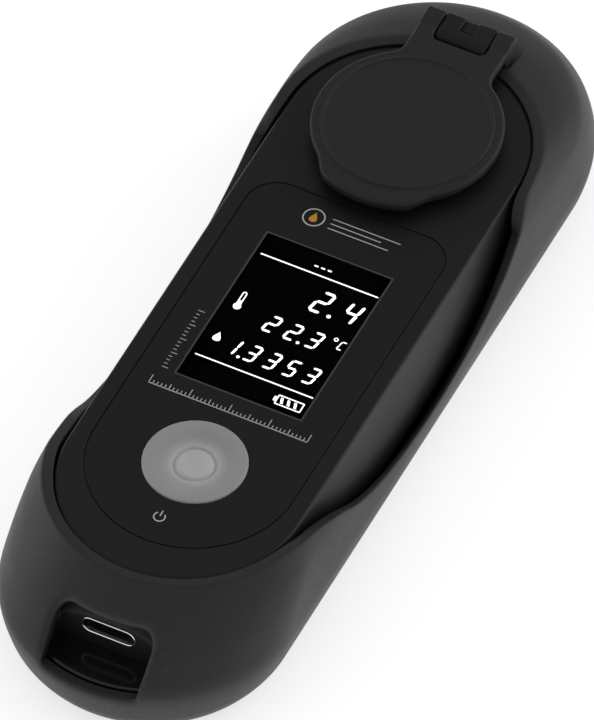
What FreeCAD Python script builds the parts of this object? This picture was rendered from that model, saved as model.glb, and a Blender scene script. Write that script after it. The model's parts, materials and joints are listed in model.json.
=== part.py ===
import FreeCAD, Part
import Sketcher
import math
import os
import re

# Handheld digital refractometer, in millimetres, +Z up. The origin is on the surface that it rests on,
# in the middle of its length and width. +Y runs to the lid's hinge, -Y to the charging port.

Vector = FreeCAD.Vector
ROUND = 2 * math.pi
UP = Vector(0, 0, 1)
TO_X = FreeCAD.Rotation(Vector(0, 1, 0), 90)    # turns a piece's own Z to +X
TO_Y = FreeCAD.Rotation(Vector(1, 0, 0), -90)   # turns a piece's own Z to +Y
MODEL_REACH = 200   # longer than the model: the reach of cuts that run right out of it

DRIVING_SIZES = {
    # casing outline at five levels: widths, and how far it reaches to each end
    "case_length": 137.7,
    "case_width": 41.2,
    "case_height": 22.5,
    "belly_level": 9.9,
    "shoulder_level": 18.5,
    "shoulder_width": 38.6,
    "shoulder_low_reach": 60.9,
    "shoulder_high_reach": 64.6,
    "face_width": 37.8,
    "face_low_reach": 56.75,
    "face_high_reach": 53.45,
    "bilge_level": 5.0,
    "bilge_inset": 1.1,
    "floor_inset": 3.3,
    "case_wall": 1.8,
    "face_wall": 2.0,
    # rubber sleeve
    "sleeve_floor": 1.8,
    "sleeve_gap": 0.3,
    "rim_band": 1.7,
    "rim_rise": 0.5,
    "shoulder_rubber": 2.6,
    "belly_rubber": 1.8,
    "bilge_rubber": 2.0,
    "base_rubber": 0.7,
    "dip_centre": -2.55,
    "dip_half_length": 41.0,
    "dip_depth": 12.2,
    # charging port and its recess
    "port_plane": 62.55,
    "port_recess_half_width": 7.8,
    "port_level": 14.1,
    "port_lip_drop": 0.4,
    "port_room_inset": 0.3,
    "shell_width": 8.94,
    "shell_height": 3.16,
    "shell_length": 7.35,
    "shell_wall": 0.3,
    "shell_setback": 0.15,
    "shell_clearance": 0.2,
    "tongue_width": 6.7,
    "tongue_height": 0.7,
    "tongue_setback": 0.9,
    "tongue_root": 1.6,
    # label, display and button
    "label_margin": 2.8,
    "label_low_centre": 34.55,
    "label_top": 19.75,
    "label_corner": 5.0,
    "label_depth": 0.3,
    "label_gap": 0.15,
    "display_centre": 5.05,
    "display_width": 21.05,
    "display_length": 30.8,
    "window_gap": 0.05,
    "window_setback": 0.1,
    "window_plate": 0.5,
    "panel_width": 24.0,
    "panel_length": 34.0,
    "panel_gap": 0.1,
    "panel_depth": 1.8,
    "backlight_depth": 2.3,
    "holder_rim": 1.5,
    "ribbon_width": 12.0,
    "ribbon_depth": 0.2,
    "ribbon_leg": 1.5,
    "button_centre": 34.35,
    "button_radius": 7.9,
    "button_clearance": 0.1,
    "button_rise": 0.25,
    "button_flange_radius": 9.2,
    "button_flange_depth": 0.8,
    "button_flange_gap": 0.15,
    "button_dish_depth": 0.7,
    "button_dish_margin": 0.9,
    "button_nub_radius": 2.7,
    "button_moat_width": 0.75,
    "button_moat_depth": 0.35,
    "button_stem_radius": 2.0,
    "button_stem_length": 0.85,
    "switch_side": 6.0,
    "switch_height": 3.3,
    "plunger_radius": 1.7,
    "plunger_depth": 0.8,
    "plunger_clearance": 0.1,
    "switch_well": 1.4,
    # circuit board and what it carries
    "board_level": 13.4,
    "board_depth": 1.2,
    "board_low_end": 60.2,
    "board_corner_gap": 2.43,
    "board_tongue_half_width": 6.4,
    "board_high_end": 17.3,
    "board_side_gap": 0.5,
    "board_screw_inset": 2.6,
    "board_screw_low": 47.0,
    "controller_side": 7.0,
    "converter_side": 5.0,
    "charger_side": 3.0,
    "chip_depth": 0.9,
    "battery_length": 42.0,
    "battery_depth": 5.2,
    "battery_low_end": 52.0,
    "pad_depth": 0.6,
    "plug_width": 6.0,
    "plug_length": 5.0,
    "plug_depth": 3.0,
    "plug_place": 2.0,
    "lead_radius": 0.5,
    "lead_spread": 3.0,
    "lead_bend": 2.2,
    # sample well and optics
    "well_centre": 35.95,
    "well_radius": 10.2,
    "well_rim_radius": 11.4,
    "well_rim_depth": 0.6,
    "well_depth": 2.4,
    "well_metal": 0.6,
    "well_window_radius": 4.5,
    "prism_width": 10.0,
    "prism_top": 11.5,
    "prism_foot": 6.0,
    "prism_height": 6.0,
    "prism_gap": 0.1,
    "seal_radius": 0.5,
    "block_half_width": 11.0,
    "block_low_end": 20.0,
    "block_high_end": 54.0,
    "block_floor_gap": 0.2,
    "block_top_gap": 0.3,
    "light_level": 15.0,
    "light_bore": 2.5,
    "bulb_length": 5.6,
    "lens_depth": 1.4,
    "lens_place": 27.2,
    "chamber_half_width": 5.0,
    "chamber_half_height": 2.8,
    "sensor_board_depth": 1.2,
    "sensor_board_rise": 3.0,
    "sensor_width": 9.0,
    "sensor_height": 4.0,
    "sensor_depth": 1.0,
    "thermistor_radius": 1.1,
    "thermistor_length": 3.0,
    "thermistor_place": 7.4,
    "flex_depth": 0.2,
    "flex_height": 5.0,
    "flex_gap": 0.4,
    # lid and hinge
    "lid_radius": 14.5,
    "lid_lift": 0.9,
    "lid_depth": 2.4,
    "lid_bead_radius": 13.0,
    "lid_bead_size": 0.8,
    "lid_crown": 0.2,
    "tab_radius": 16.7,
    "tab_half_width": 8.0,
    "tab_depth": 1.7,
    "neck_fillet": 3.0,
    "arm_outer": 7.3,
    "arm_inner": 4.3,
    "arm_boss_radius": 2.0,
    "pin_place": 56.45,
    "pin_rise": 1.5,
    "pin_radius": 0.9,
    "pin_end_inset": 0.2,
    "pin_clearance": 0.05,
    "lug_gap": 0.2,
    "lug_front": 3.4,
    "lug_back": 1.95,
    "lug_top": 1.7,
    "lug_rounding": 1.9,
    "lug_root": 1.9,
    "lug_slot_width": 2.2,
    "lug_slot_depth": 0.5,
    "lug_slot_length": 2.6,
    "hinge_clearance": 0.45,
    "lid_window_gap": 0.3,
    "lid_seal_radius": 12.4,
    "lid_seal_width": 1.2,
    "lid_seal_height": 1.1,
    "lid_seal_groove": 0.5,
    # seal between the casing's halves, and the screws
    "gasket_margin": 0.4,
    "gasket_width": 0.7,
    "gasket_height": 0.8,
    "boss_radius": 2.7,
    "boss_wall_gap": 1.3,
    "boss_low": 46.0,
    "boss_high": 50.0,
    "case_screw_radius": 1.1,
    "case_screw_length": 12.0,
    "case_head_radius": 1.9,
    "case_head_depth": 1.4,
    "head_clearance": 0.2,
    "head_recess": 2.0,
    "board_boss_radius": 2.0,
    "small_screw_radius": 0.75,
    "small_screw_grip": 3.4,
    "small_head_radius": 1.5,
    "small_head_depth": 0.9,
    "optic_screw_inset": 2.4,
    "optic_screw_level": 14.0,
}

doc = FreeCAD.newDocument("refractometer")
sizes = doc.addObject("Spreadsheet::Sheet", "sizes")
for row, (alias, size) in enumerate(DRIVING_SIZES.items(), start=1):
    sizes.set("A%d" % row, alias)
    sizes.set("B%d" % row, str(size))
    sizes.setAlias("B%d" % row, alias)
doc.recompute()

# Places that several pieces share, as formulas of the driving sizes.
SHARED = {
    "face_level": "case_height",
    "ceiling_level": "(case_height - face_wall)",
    "board_top": "(board_level + board_depth)",
    "cavity_half_width": "(case_width / 2 - case_wall)",
    "boss_place": "(case_width / 2 - case_wall - boss_radius - boss_wall_gap)",
    "board_half_width": "(case_width / 2 - case_wall - 2 * boss_radius - boss_wall_gap - board_side_gap)",
    "inner_floor": "(sleeve_floor + case_wall)",
    "block_base": "(sleeve_floor + case_wall + block_floor_gap)",
    "block_top": "(case_height - well_depth - well_metal - block_top_gap)",
    "pin_level": "(case_height + pin_rise)",
    "lid_base": "(case_height + lid_lift)",
    "window_base": "(case_height - label_depth - window_plate)",
    "panel_base": "(case_height - label_depth - window_plate - panel_depth)",
    "button_base": "(case_height - face_wall - button_flange_gap - button_flange_depth)",
    "button_top": "(case_height + button_rise)",
    "prism_level": "(case_height - well_depth - well_metal)",
    "board_screw_place": "(case_width / 2 - case_wall - 2 * boss_radius - boss_wall_gap - board_side_gap"
                         " - board_screw_inset)",
    "board_screw_high": "(board_high_end - board_screw_inset)",
    # where the board's corner stays board_corner_gap inside the round end of the cavity
    "board_shoulder": "(port_plane - case_width / 2 + sqrt((case_width / 2 - case_wall - board_corner_gap)^2"
                      " - (case_width / 2 - case_wall - 2 * boss_radius - boss_wall_gap - board_side_gap)^2))",
}
WORD = re.compile(r"[a-z][a-z_]+")


def size_of(alias):
    """The number in the sheet under that alias."""
    return float(sizes.get(alias))


def formula(text):
    """A formula of plain names, with the shared places written out and each size read from the sheet."""
    text = WORD.sub(lambda word: SHARED.get(word[0], word[0]), text)
    return WORD.sub(lambda word: "sizes." + word[0] if word[0] in DRIVING_SIZES else word[0], text)


def bind(thing, place, text):
    """Ties one property to a formula."""
    thing.setExpression(place, formula(text))


def put(thing, corner, turn=None):
    """Places a primitive, turned if need be, at a corner or base centre given by three formulas."""
    if turn is not None:
        thing.Placement = FreeCAD.Placement(Vector(0, 0, 0), turn)
    for letter, text in zip("xyz", corner):
        bind(thing, "Placement.Base." + letter, text)
    return thing


def new_body(label):
    body = doc.addObject("PartDesign::Body", label)
    body.Label = label
    return body


def origin_plane(body, role):
    return [plane for plane in body.Origin.OriginFeatures if plane.Role == role][0]


def flat_sketch(body, name, role, level="0"):
    """An empty sketch on one of the body's origin planes, raised along the plane's normal."""
    sketch = body.newObject("Sketcher::SketchObject", name)
    sketch.AttachmentSupport = [(origin_plane(body, role), "")]
    sketch.MapMode = "FlatFace"
    bind(sketch, "AttachmentOffset.Base.z", level)
    return sketch


def fix(sketch, name, text, *about):
    """Adds one dimension to a sketch and ties it to a formula."""
    number = sketch.addConstraint(Sketcher.Constraint(*about))
    sketch.renameConstraint(number, name)
    bind(sketch, "Constraints." + name, text)


def hold(sketch, *about):
    """Adds one geometric constraint to a sketch."""
    sketch.addConstraint(Sketcher.Constraint(*about))


def arc(centre, radius, start, end):
    """A counter-clockwise arc in a sketch's plane, between two angles in radians."""
    return Part.ArcOfCircle(Part.Circle(Vector(centre[0], centre[1], 0), UP, radius), start, end)


def line(start, end):
    return Part.LineSegment(Vector(start[0], start[1], 0), Vector(end[0], end[1], 0))


def draw_stadium(sketch, prefix, half_width, low_reach, high_reach):
    """Draws a round-ended outline about the Y axis: its half width is also the radius of both ends."""
    first = sketch.GeometryCount
    radius, reach = 15.0, 30.0
    sketch.addGeometry([
        arc((0, -reach), radius, math.pi, ROUND),
        line((radius, -reach), (radius, reach)),
        arc((0, reach), radius, 0, math.pi),
        line((-radius, reach), (-radius, -reach)),
    ])
    for number in range(4):
        hold(sketch, "Tangent", first + number, 2, first + (number + 1) % 4, 1)
    hold(sketch, "PointOnObject", first, 3, -2)
    hold(sketch, "PointOnObject", first + 2, 3, -2)
    hold(sketch, "Vertical", first + 1)
    low_centre = "(%s) - (%s)" % (low_reach, half_width)
    high_centre = "(%s) - (%s)" % (high_reach, half_width)
    fix(sketch, prefix + "half_width", half_width, "Radius", first, radius)
    fix(sketch, prefix + "low_centre", low_centre, "DistanceY", first, 3, -1, 1, reach)
    fix(sketch, prefix + "high_centre", high_centre, "DistanceY", -1, 1, first + 2, 3, reach)


def stadium(body, name, level, half_width, low_reach, high_reach):
    """A sketch of one round-ended outline."""
    sketch = flat_sketch(body, name, "XY_Plane", level)
    draw_stadium(sketch, "", half_width, low_reach, high_reach)
    return sketch


def rectangle(body, name, role, level, low, high):
    """An upright rectangle between two corners, each given by two formulas."""
    sketch = flat_sketch(body, name, role, level)
    corners = [(-10, -10), (10, -10), (10, 10), (-10, 10)]
    sketch.addGeometry([line(corners[n], corners[(n + 1) % 4]) for n in range(4)])
    for number in range(4):
        hold(sketch, "Coincident", number, 2, (number + 1) % 4, 1)
        hold(sketch, "Horizontal" if number % 2 == 0 else "Vertical", number)
    for name, kind, point, text, start in (
        ("low_across", "DistanceX", 0, low[0], -10), ("low_up", "DistanceY", 0, low[1], -10),
        ("high_across", "DistanceX", 2, high[0], 10), ("high_up", "DistanceY", 2, high[1], 10),
    ):
        fix(sketch, name, text, kind, -1, 1, point, 1, start)
    return sketch


def circle(body, name, role, level, centre, radius):
    sketch = flat_sketch(body, name, role, level)
    sketch.addGeometry(Part.Circle(Vector(1, 1, 0), UP, 5))
    fix(sketch, "radius", radius, "Radius", 0, 5)
    fix(sketch, "across", centre[0], "DistanceX", -1, 1, 0, 3, 1)
    fix(sketch, "up", centre[1], "DistanceY", -1, 1, 0, 3, 1)
    return sketch


def extrude(body, kind, sketch, length, both_ways=False):
    """A Pad or a Pocket of a sketch, along the plane's normal or to both sides of it.

    A Pocket runs against the normal by itself, so it is reversed.
    """
    feature = body.newObject("PartDesign::" + kind, sketch.Name + "_" + kind.lower())
    feature.Profile = sketch
    feature.Midplane = both_ways
    feature.Reversed = kind == "Pocket"
    bind(feature, "Length", length)
    return feature


def loft(body, kind, name, sections):
    feature = body.newObject("PartDesign::" + kind, name)
    feature.Profile = sections[0]
    feature.Sections = sections[1:]
    return feature


def block(body, kind, name, size, corner):
    """A box added to or cut from a body, by its three sides and its lowest corner."""
    feature = body.newObject("PartDesign::%sBox" % kind, name)
    for side, text in zip(("Length", "Width", "Height"), size):
        bind(feature, side, text)
    return put(feature, corner)


def barrel(body, kind, name, radius, height, base, turn=None):
    """A cylinder added to or cut from a body."""
    feature = body.newObject("PartDesign::%sCylinder" % kind, name)
    bind(feature, "Radius", radius)
    bind(feature, "Height", height)
    return put(feature, base, turn)


def plain_box(label, size, corner):
    """A sub-part that is one box."""
    piece = doc.addObject("Part::Box", label)
    piece.Label = label
    for side, text in zip(("Length", "Width", "Height"), size):
        bind(piece, side, text)
    return put(piece, corner)


def plain_barrel(label, radius, height, base, turn=None):
    """A sub-part that is one cylinder."""
    piece = doc.addObject("Part::Cylinder", label)
    piece.Label = label
    bind(piece, "Radius", radius)
    bind(piece, "Height", height)
    return put(piece, base, turn)


# Casing

def case_sections(body, name, grow="0", wall=False):
    """The casing's five outlines, from its floor to its face, each wider by grow.

    With wall set they are the sleeve's outer outlines, wider by the rubber's own thickness at each level.
    """
    rubber = {"floor": "base_rubber", "bilge": "bilge_rubber", "belly": "belly_rubber",
              "shoulder": "shoulder_rubber", "face": "rim_band"}
    outlines = (
        ("floor", "sleeve_floor", "case_width / 2 - floor_inset",
         "case_length / 2 - floor_inset", "case_length / 2 - floor_inset"),
        ("bilge", "bilge_level", "case_width / 2 - bilge_inset",
         "case_length / 2 - bilge_inset", "case_length / 2 - bilge_inset"),
        ("belly", "belly_level", "case_width / 2", "case_length / 2", "case_length / 2"),
        ("shoulder", "shoulder_level", "shoulder_width / 2", "shoulder_low_reach", "shoulder_high_reach"),
        ("face", "face_level", "face_width / 2", "face_low_reach", "face_high_reach"),
    )
    sections = []
    for where, level, half_width, low_reach, high_reach in outlines:
        extra = " + " + grow
        if wall:
            extra = " + sleeve_gap + " + rubber[where]
            level = {"floor": "0", "face": "face_level + rim_rise"}.get(where, level)
        sections.append(stadium(body, "%s_%s" % (name, where), level, half_width + extra,
                                low_reach + extra, high_reach + extra))
    return sections


def boss_points():
    """The four places of the casing's screws, as formulas."""
    return [(side + "boss_place", end) for side in ("", "-") for end in ("-boss_low", "boss_high")]


def board_screw_points():
    """The four places of the circuit board's screws, as formulas."""
    return [(side + "board_screw_place", end)
            for side in ("", "-") for end in ("-board_screw_low", "board_screw_high")]


def optic_screw_points():
    """The four places of the optical block's screws, as formulas."""
    across = "(block_half_width - optic_screw_inset)"
    return [(side + across, end) for side in ("", "-")
            for end in ("block_low_end + optic_screw_inset", "block_high_end - optic_screw_inset")]


def gasket_ring(body, name, level):
    """A sketch of the seal's ring, which follows the cavity's outline at the parting plane."""
    sketch = flat_sketch(body, name, "XY_Plane", level)
    for prefix, grow in (("inner_", "gasket_margin"), ("outer_", "gasket_margin + gasket_width")):
        draw_stadium(sketch, prefix, "cavity_half_width + " + grow,
                     "port_plane - case_wall + " + grow, "case_length / 2 - case_wall + " + grow)
    return sketch


def label_outline(body, name, level, grow):
    """A panel with two round corners at the top and one half circle at the bottom, wider by grow."""
    sketch = flat_sketch(body, name, "XY_Plane", level)
    half, corner, top, low = 16.0, 5.0, 20.0, -34.0
    sketch.addGeometry([
        arc((0, low), half, math.pi, ROUND),
        line((half, low), (half, top - corner)),
        arc((half - corner, top - corner), corner, 0, math.pi / 2),
        line((half - corner, top), (corner - half, top)),
        arc((corner - half, top - corner), corner, math.pi / 2, math.pi),
        line((-half, top - corner), (-half, low)),
    ])
    for number in range(6):
        hold(sketch, "Tangent", number, 2, (number + 1) % 6, 1)
    hold(sketch, "PointOnObject", 0, 3, -2)
    hold(sketch, "Vertical", 1)
    hold(sketch, "Horizontal", 3)
    hold(sketch, "Equal", 2, 4)
    fix(sketch, "half_width", "face_width / 2 - label_margin + " + grow, "Radius", 0, half)
    fix(sketch, "corner", "label_corner + " + grow, "Radius", 2, corner)
    fix(sketch, "low_centre", "label_low_centre", "DistanceY", 0, 3, -1, 1, -low)
    fix(sketch, "top", "label_top + " + grow, "DistanceY", -1, 1, 3, 1, top)
    return sketch


def lug_profile(body, name):
    """The hinge lug from the side: upright front, rounded front shoulder, flat top and upright back."""
    sketch = flat_sketch(body, name, "YZ_Plane")
    pin_y = size_of("pin_place")
    pin_z = size_of("case_height") + size_of("pin_rise")
    front = pin_y - size_of("lug_front")
    back = pin_y + size_of("lug_back")
    top = pin_z + size_of("lug_top")
    root = size_of("case_height") - size_of("lug_root")
    bend = size_of("lug_rounding")
    sketch.addGeometry([
        line((front, root), (back, root)),
        line((back, root), (back, top)),
        line((back, top), (front + bend, top)),
        arc((front + bend, top - bend), bend, math.pi / 2, math.pi),
        line((front, top - bend), (front, root)),
    ])
    hold(sketch, "Coincident", 0, 2, 1, 1)
    hold(sketch, "Coincident", 1, 2, 2, 1)
    hold(sketch, "Tangent", 2, 2, 3, 1)
    hold(sketch, "Tangent", 3, 2, 4, 1)
    hold(sketch, "Coincident", 4, 2, 0, 1)
    for number in (0, 2):
        hold(sketch, "Horizontal", number)
    for number in (1, 4):
        hold(sketch, "Vertical", number)
    fix(sketch, "rounding", "lug_rounding", "Radius", 3, bend)
    fix(sketch, "front", "pin_place - lug_front", "DistanceX", -1, 1, 0, 1, front)
    fix(sketch, "back", "pin_place + lug_back", "DistanceX", -1, 1, 0, 2, back)
    fix(sketch, "root", "case_height - lug_root", "DistanceY", -1, 1, 0, 1, root)
    fix(sketch, "top", "pin_level + lug_top", "DistanceY", -1, 1, 1, 2, top)
    return sketch


def cut_port_recess(body, name, setback, base):
    """Cuts the recess at the low end: everything beyond an upright plane and above a flat floor."""
    block(body, "Subtractive", name,
          ("2 * port_recess_half_width", str(MODEL_REACH), str(MODEL_REACH)),
          ("-port_recess_half_width", "-port_plane - %s - %d" % (setback, MODEL_REACH), base))


def make_top_case():
    """The upper shell: face wall with openings, port wall, screw bosses and hinge lug."""
    body = new_body("top_case")
    loft(body, "AdditiveLoft", "case_form", case_sections(body, "case"))
    block(body, "Subtractive", "below_parting", (str(MODEL_REACH), str(MODEL_REACH), "belly_level"),
          (str(-MODEL_REACH / 2), str(-MODEL_REACH / 2), "0"))
    cavity = [
        stadium(body, "cavity_foot", "belly_level", "cavity_half_width",
                "port_plane - case_wall", "case_length / 2 - case_wall"),
        stadium(body, "cavity_middle", "shoulder_level", "shoulder_width / 2 - case_wall",
                "shoulder_low_reach - case_wall", "shoulder_high_reach - face_wall - case_wall / 2"),
        stadium(body, "cavity_ceiling", "ceiling_level", "face_width / 2 - case_wall",
                "face_low_reach - case_wall", "face_high_reach - case_wall"),
    ]
    loft(body, "SubtractiveLoft", "cavity", cavity)
    for number, (across, along) in enumerate(boss_points(), start=1):
        barrel(body, "Additive", "case_boss_%d" % number, "boss_radius",
               "ceiling_level - belly_level", (across, along, "belly_level"))
        barrel(body, "Subtractive", "case_pilot_%d" % number, "case_screw_radius",
               "case_screw_length - belly_level + inner_floor",
               (across, along, "belly_level"))
    for number, (across, along) in enumerate(board_screw_points(), start=1):
        barrel(body, "Additive", "board_boss_%d" % number, "board_boss_radius",
               "ceiling_level - board_top", (across, along, "board_top"))
        barrel(body, "Subtractive", "board_pilot_%d" % number, "small_screw_radius",
               "small_screw_grip", (across, along, "board_top"))
    for number, (across, along) in enumerate(optic_screw_points(), start=1):
        barrel(body, "Additive", "optic_boss_%d" % number, "board_boss_radius",
               "ceiling_level - block_top", (across, along, "block_top"))
        barrel(body, "Subtractive", "optic_pilot_%d" % number, "small_screw_radius",
               "ceiling_level - block_top + label_depth", (across, along, "block_top"))
    recess = label_outline(body, "label_recess", "face_level - label_depth", "label_gap")
    extrude(body, "Pocket", recess, "label_depth")
    block(body, "Subtractive", "display_cut",
          ("panel_width + 2 * panel_gap", "panel_length + 2 * panel_gap", "face_wall"),
          ("-panel_width / 2 - panel_gap", "-display_centre - panel_length / 2 - panel_gap", "ceiling_level"))
    barrel(body, "Subtractive", "button_hole", "button_radius + button_clearance", "face_wall",
           ("0", "-button_centre", "ceiling_level"))
    barrel(body, "Subtractive", "well_rim_seat", "well_rim_radius", "well_rim_depth",
           ("0", "well_centre", "face_level - well_rim_depth"))
    barrel(body, "Subtractive", "well_hole", "well_radius", "face_wall", ("0", "well_centre", "ceiling_level"))
    cut_port_recess(body, "port_recess", "0", "belly_level")
    block(body, "Subtractive", "port_room",
          ("2 * (board_tongue_half_width + board_side_gap)", "shell_length + case_wall",
           "port_level + shell_height - belly_level"),
          ("-board_tongue_half_width - board_side_gap", "-port_plane + case_wall + port_room_inset",
           "belly_level"))
    for number, side in enumerate(("-", ""), start=1):
        barrel(body, "Subtractive", "port_end_%d" % number, "shell_height / 2 + shell_clearance",
               "2 * case_wall", (side + "(shell_width - shell_height) / 2", "-port_plane - case_wall / 2",
                                 "port_level"), TO_Y)
    block(body, "Subtractive", "port_middle",
          ("shell_width - shell_height", "2 * case_wall", "shell_height + 2 * shell_clearance"),
          ("-(shell_width - shell_height) / 2", "-port_plane - case_wall / 2",
           "port_level - shell_height / 2 - shell_clearance"))
    extrude(body, "Pad", lug_profile(body, "lug"), "2 * (arm_inner - lug_gap)", both_ways=True)
    block(body, "Subtractive", "lug_slot", ("lug_slot_width", "lug_slot_length", "lug_slot_depth"),
          ("-lug_slot_width / 2", "pin_place + lug_back - lug_slot_length", "pin_level + lug_top - lug_slot_depth"))
    barrel(body, "Subtractive", "lug_bore", "pin_radius", "2 * arm_inner", ("-arm_inner", "pin_place", "pin_level"),
           TO_X)
    for number, start in enumerate(("arm_inner - lug_gap", "-arm_outer - hinge_clearance"), start=1):
        barrel(body, "Subtractive", "arm_relief_%d" % number, "arm_boss_radius + hinge_clearance",
               "arm_outer + hinge_clearance - arm_inner + lug_gap", (start, "pin_place", "pin_level"), TO_X)
    extrude(body, "Pocket", gasket_ring(body, "groove", "belly_level"), "gasket_height / 2")
    return body


def make_bottom_case():
    """The lower shell: floor, walls up to the parting plane, and the tubes for the casing's screws."""
    body = new_body("bottom_case")
    loft(body, "AdditiveLoft", "case_form", case_sections(body, "case"))
    block(body, "Subtractive", "above_parting", (str(MODEL_REACH), str(MODEL_REACH), "case_height"),
          (str(-MODEL_REACH / 2), str(-MODEL_REACH / 2), "belly_level"))
    cavity = [
        stadium(body, "cavity_floor", "inner_floor", "cavity_half_width - floor_inset / 2",
                "port_plane - case_wall - floor_inset / 2", "case_length / 2 - case_wall - floor_inset / 2"),
        stadium(body, "cavity_mouth", "belly_level", "cavity_half_width",
                "port_plane - case_wall", "case_length / 2 - case_wall"),
    ]
    loft(body, "SubtractiveLoft", "cavity", cavity)
    for number, (across, along) in enumerate(boss_points(), start=1):
        barrel(body, "Additive", "tube_%d" % number, "boss_radius", "belly_level - inner_floor",
               (across, along, "inner_floor"))
        barrel(body, "Subtractive", "tube_hole_%d" % number, "case_screw_radius + head_clearance / 2",
               "belly_level", (across, along, "sleeve_floor"))
        barrel(body, "Subtractive", "head_recess_%d" % number, "case_head_radius + head_clearance",
               "head_recess", (across, along, "sleeve_floor"))
    groove = gasket_ring(body, "groove", "belly_level - gasket_height / 2")
    extrude(body, "Pocket", groove, "gasket_height / 2")
    return body


def make_case_gasket():
    """The ring of rubber that seals the casing's two halves."""
    body = new_body("case_gasket")
    extrude(body, "Pad", gasket_ring(body, "ring", "belly_level - gasket_height / 2"), "gasket_height")
    return body


# Rubber sleeve

def dip_profile(body, name):
    """The side dip seen along X: two tangent arcs fall from each end of it to its lowest point."""
    sketch = flat_sketch(body, name, "YZ_Plane")
    centre = size_of("dip_centre")
    half = size_of("dip_half_length")
    depth = size_of("dip_depth")
    top = size_of("case_height") + size_of("rim_rise")
    bend = (half ** 2 + depth ** 2) / (4 * depth)
    turn = math.asin(half / (2 * bend))
    upper = top + depth
    down = math.pi / 2
    sketch.addGeometry([
        arc((centre - half, top - bend), bend, down - turn, down),
        arc((centre, top - depth + bend), bend, 3 * down - turn, 3 * down + turn),
        arc((centre + half, top - bend), bend, down, down + turn),
        line((centre + half, top), (centre + half, upper)),
        line((centre + half, upper), (centre - half, upper)),
        line((centre - half, upper), (centre - half, top)),
    ])
    hold(sketch, "Tangent", 0, 1, 1, 1)
    hold(sketch, "Tangent", 1, 2, 2, 2)
    hold(sketch, "Equal", 0, 1)
    hold(sketch, "Equal", 1, 2)
    for first, first_end, second, second_end in ((2, 1, 3, 1), (3, 2, 4, 1), (4, 2, 5, 1), (5, 2, 0, 2)):
        hold(sketch, "Coincident", first, first_end, second, second_end)
    hold(sketch, "Vertical", 3)
    hold(sketch, "Vertical", 5)
    hold(sketch, "Horizontal", 4)
    hold(sketch, "Vertical", 0, 3, 0, 2)
    hold(sketch, "Vertical", 2, 3, 2, 1)
    fix(sketch, "low_end", "dip_half_length - dip_centre", "DistanceX", 0, 2, -1, 1, half - centre)
    fix(sketch, "high_end", "dip_half_length + dip_centre", "DistanceX", -1, 1, 2, 1, half + centre)
    fix(sketch, "start", "face_level + rim_rise", "DistanceY", -1, 1, 0, 2, top)
    fix(sketch, "finish", "face_level + rim_rise", "DistanceY", -1, 1, 2, 1, top)
    fix(sketch, "upper", "face_level + rim_rise + dip_depth", "DistanceY", -1, 1, 3, 2, upper)
    fix(sketch, "bend", "(dip_half_length ^ 2 + dip_depth ^ 2) / (4 * dip_depth)", "Radius", 1, bend)
    return sketch


def make_sleeve():
    """The rubber boot: open at the top over the face, dipped at both sides, with windows for port and hinge."""
    body = new_body("sleeve")
    loft(body, "AdditiveLoft", "outer_form", case_sections(body, "outer", wall=True))
    loft(body, "SubtractiveLoft", "inner_form", case_sections(body, "inner", grow="sleeve_gap"))
    mouth = stadium(body, "mouth", "face_level", "face_width / 2 + sleeve_gap",
                    "face_low_reach + sleeve_gap", "face_high_reach + sleeve_gap")
    extrude(body, "Pocket", mouth, "2 * rim_rise")
    extrude(body, "Pocket", dip_profile(body, "dip"), "2 * case_width", both_ways=True)
    cut_port_recess(body, "port_window", "sleeve_gap", "belly_level - port_lip_drop")
    block(body, "Subtractive", "lug_window",
          ("2 * arm_inner", "pin_place + lug_back + sleeve_gap - face_high_reach + case_wall", "case_height"),
          ("-arm_inner", "face_high_reach - case_wall", "face_level - lug_root"))
    barrel(body, "Subtractive", "arm_window", "arm_boss_radius + hinge_clearance",
           "2 * (arm_outer + hinge_clearance)", ("-arm_outer - hinge_clearance", "pin_place", "pin_level"), TO_X)
    return body


# Charging port

def round_bar(body, kind, name, half_height, setback, length):
    """A flat bar with round sides, lying along Y from the port's plane, added or cut."""
    start = "-port_plane + %s" % setback
    across = "(shell_width - shell_height) / 2"
    block(body, kind, name + "_middle", ("2 * (%s)" % across, length, "2 * (%s)" % half_height),
          ("-" + across, start, "port_level - (%s)" % half_height))
    for number, side in enumerate(("-", ""), start=1):
        barrel(body, kind, "%s_end_%d" % (name, number), half_height, length,
               (side + across, start, "port_level"), TO_Y)


def make_port_shell():
    """The port's metal shell, open to the recess and closed at its back."""
    body = new_body("port_shell")
    round_bar(body, "Additive", "outside", "shell_height / 2", "shell_setback", "shell_length")
    round_bar(body, "Subtractive", "inside", "shell_height / 2 - shell_wall", "shell_setback",
              "shell_length - shell_wall")
    return body


def make_port_tongue():
    """The port's plastic tongue, on the root that fills the back of the shell."""
    body = new_body("port_tongue")
    root = "shell_setback + shell_length - shell_wall - tongue_root"
    round_bar(body, "Additive", "root", "shell_height / 2 - shell_wall", root, "tongue_root")
    block(body, "Additive", "tongue",
          ("tongue_width", "shell_length - shell_wall - tongue_root - tongue_setback", "tongue_height"),
          ("-tongue_width / 2", "-port_plane + shell_setback + tongue_setback", "port_level - tongue_height / 2"))
    return body


# Label, display and button

def make_label_overlay():
    """The printed film on the face, with openings for the display and the button."""
    body = new_body("label_overlay")
    extrude(body, "Pad", label_outline(body, "outline", "face_level - label_depth", "0"), "label_depth")
    block(body, "Subtractive", "display_opening", ("display_width", "display_length", "label_depth"),
          ("-display_width / 2", "-display_centre - display_length / 2", "face_level - label_depth"))
    barrel(body, "Subtractive", "button_opening", "button_radius + button_clearance", "label_depth",
           ("0", "-button_centre", "face_level - label_depth"))
    return body


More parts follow.
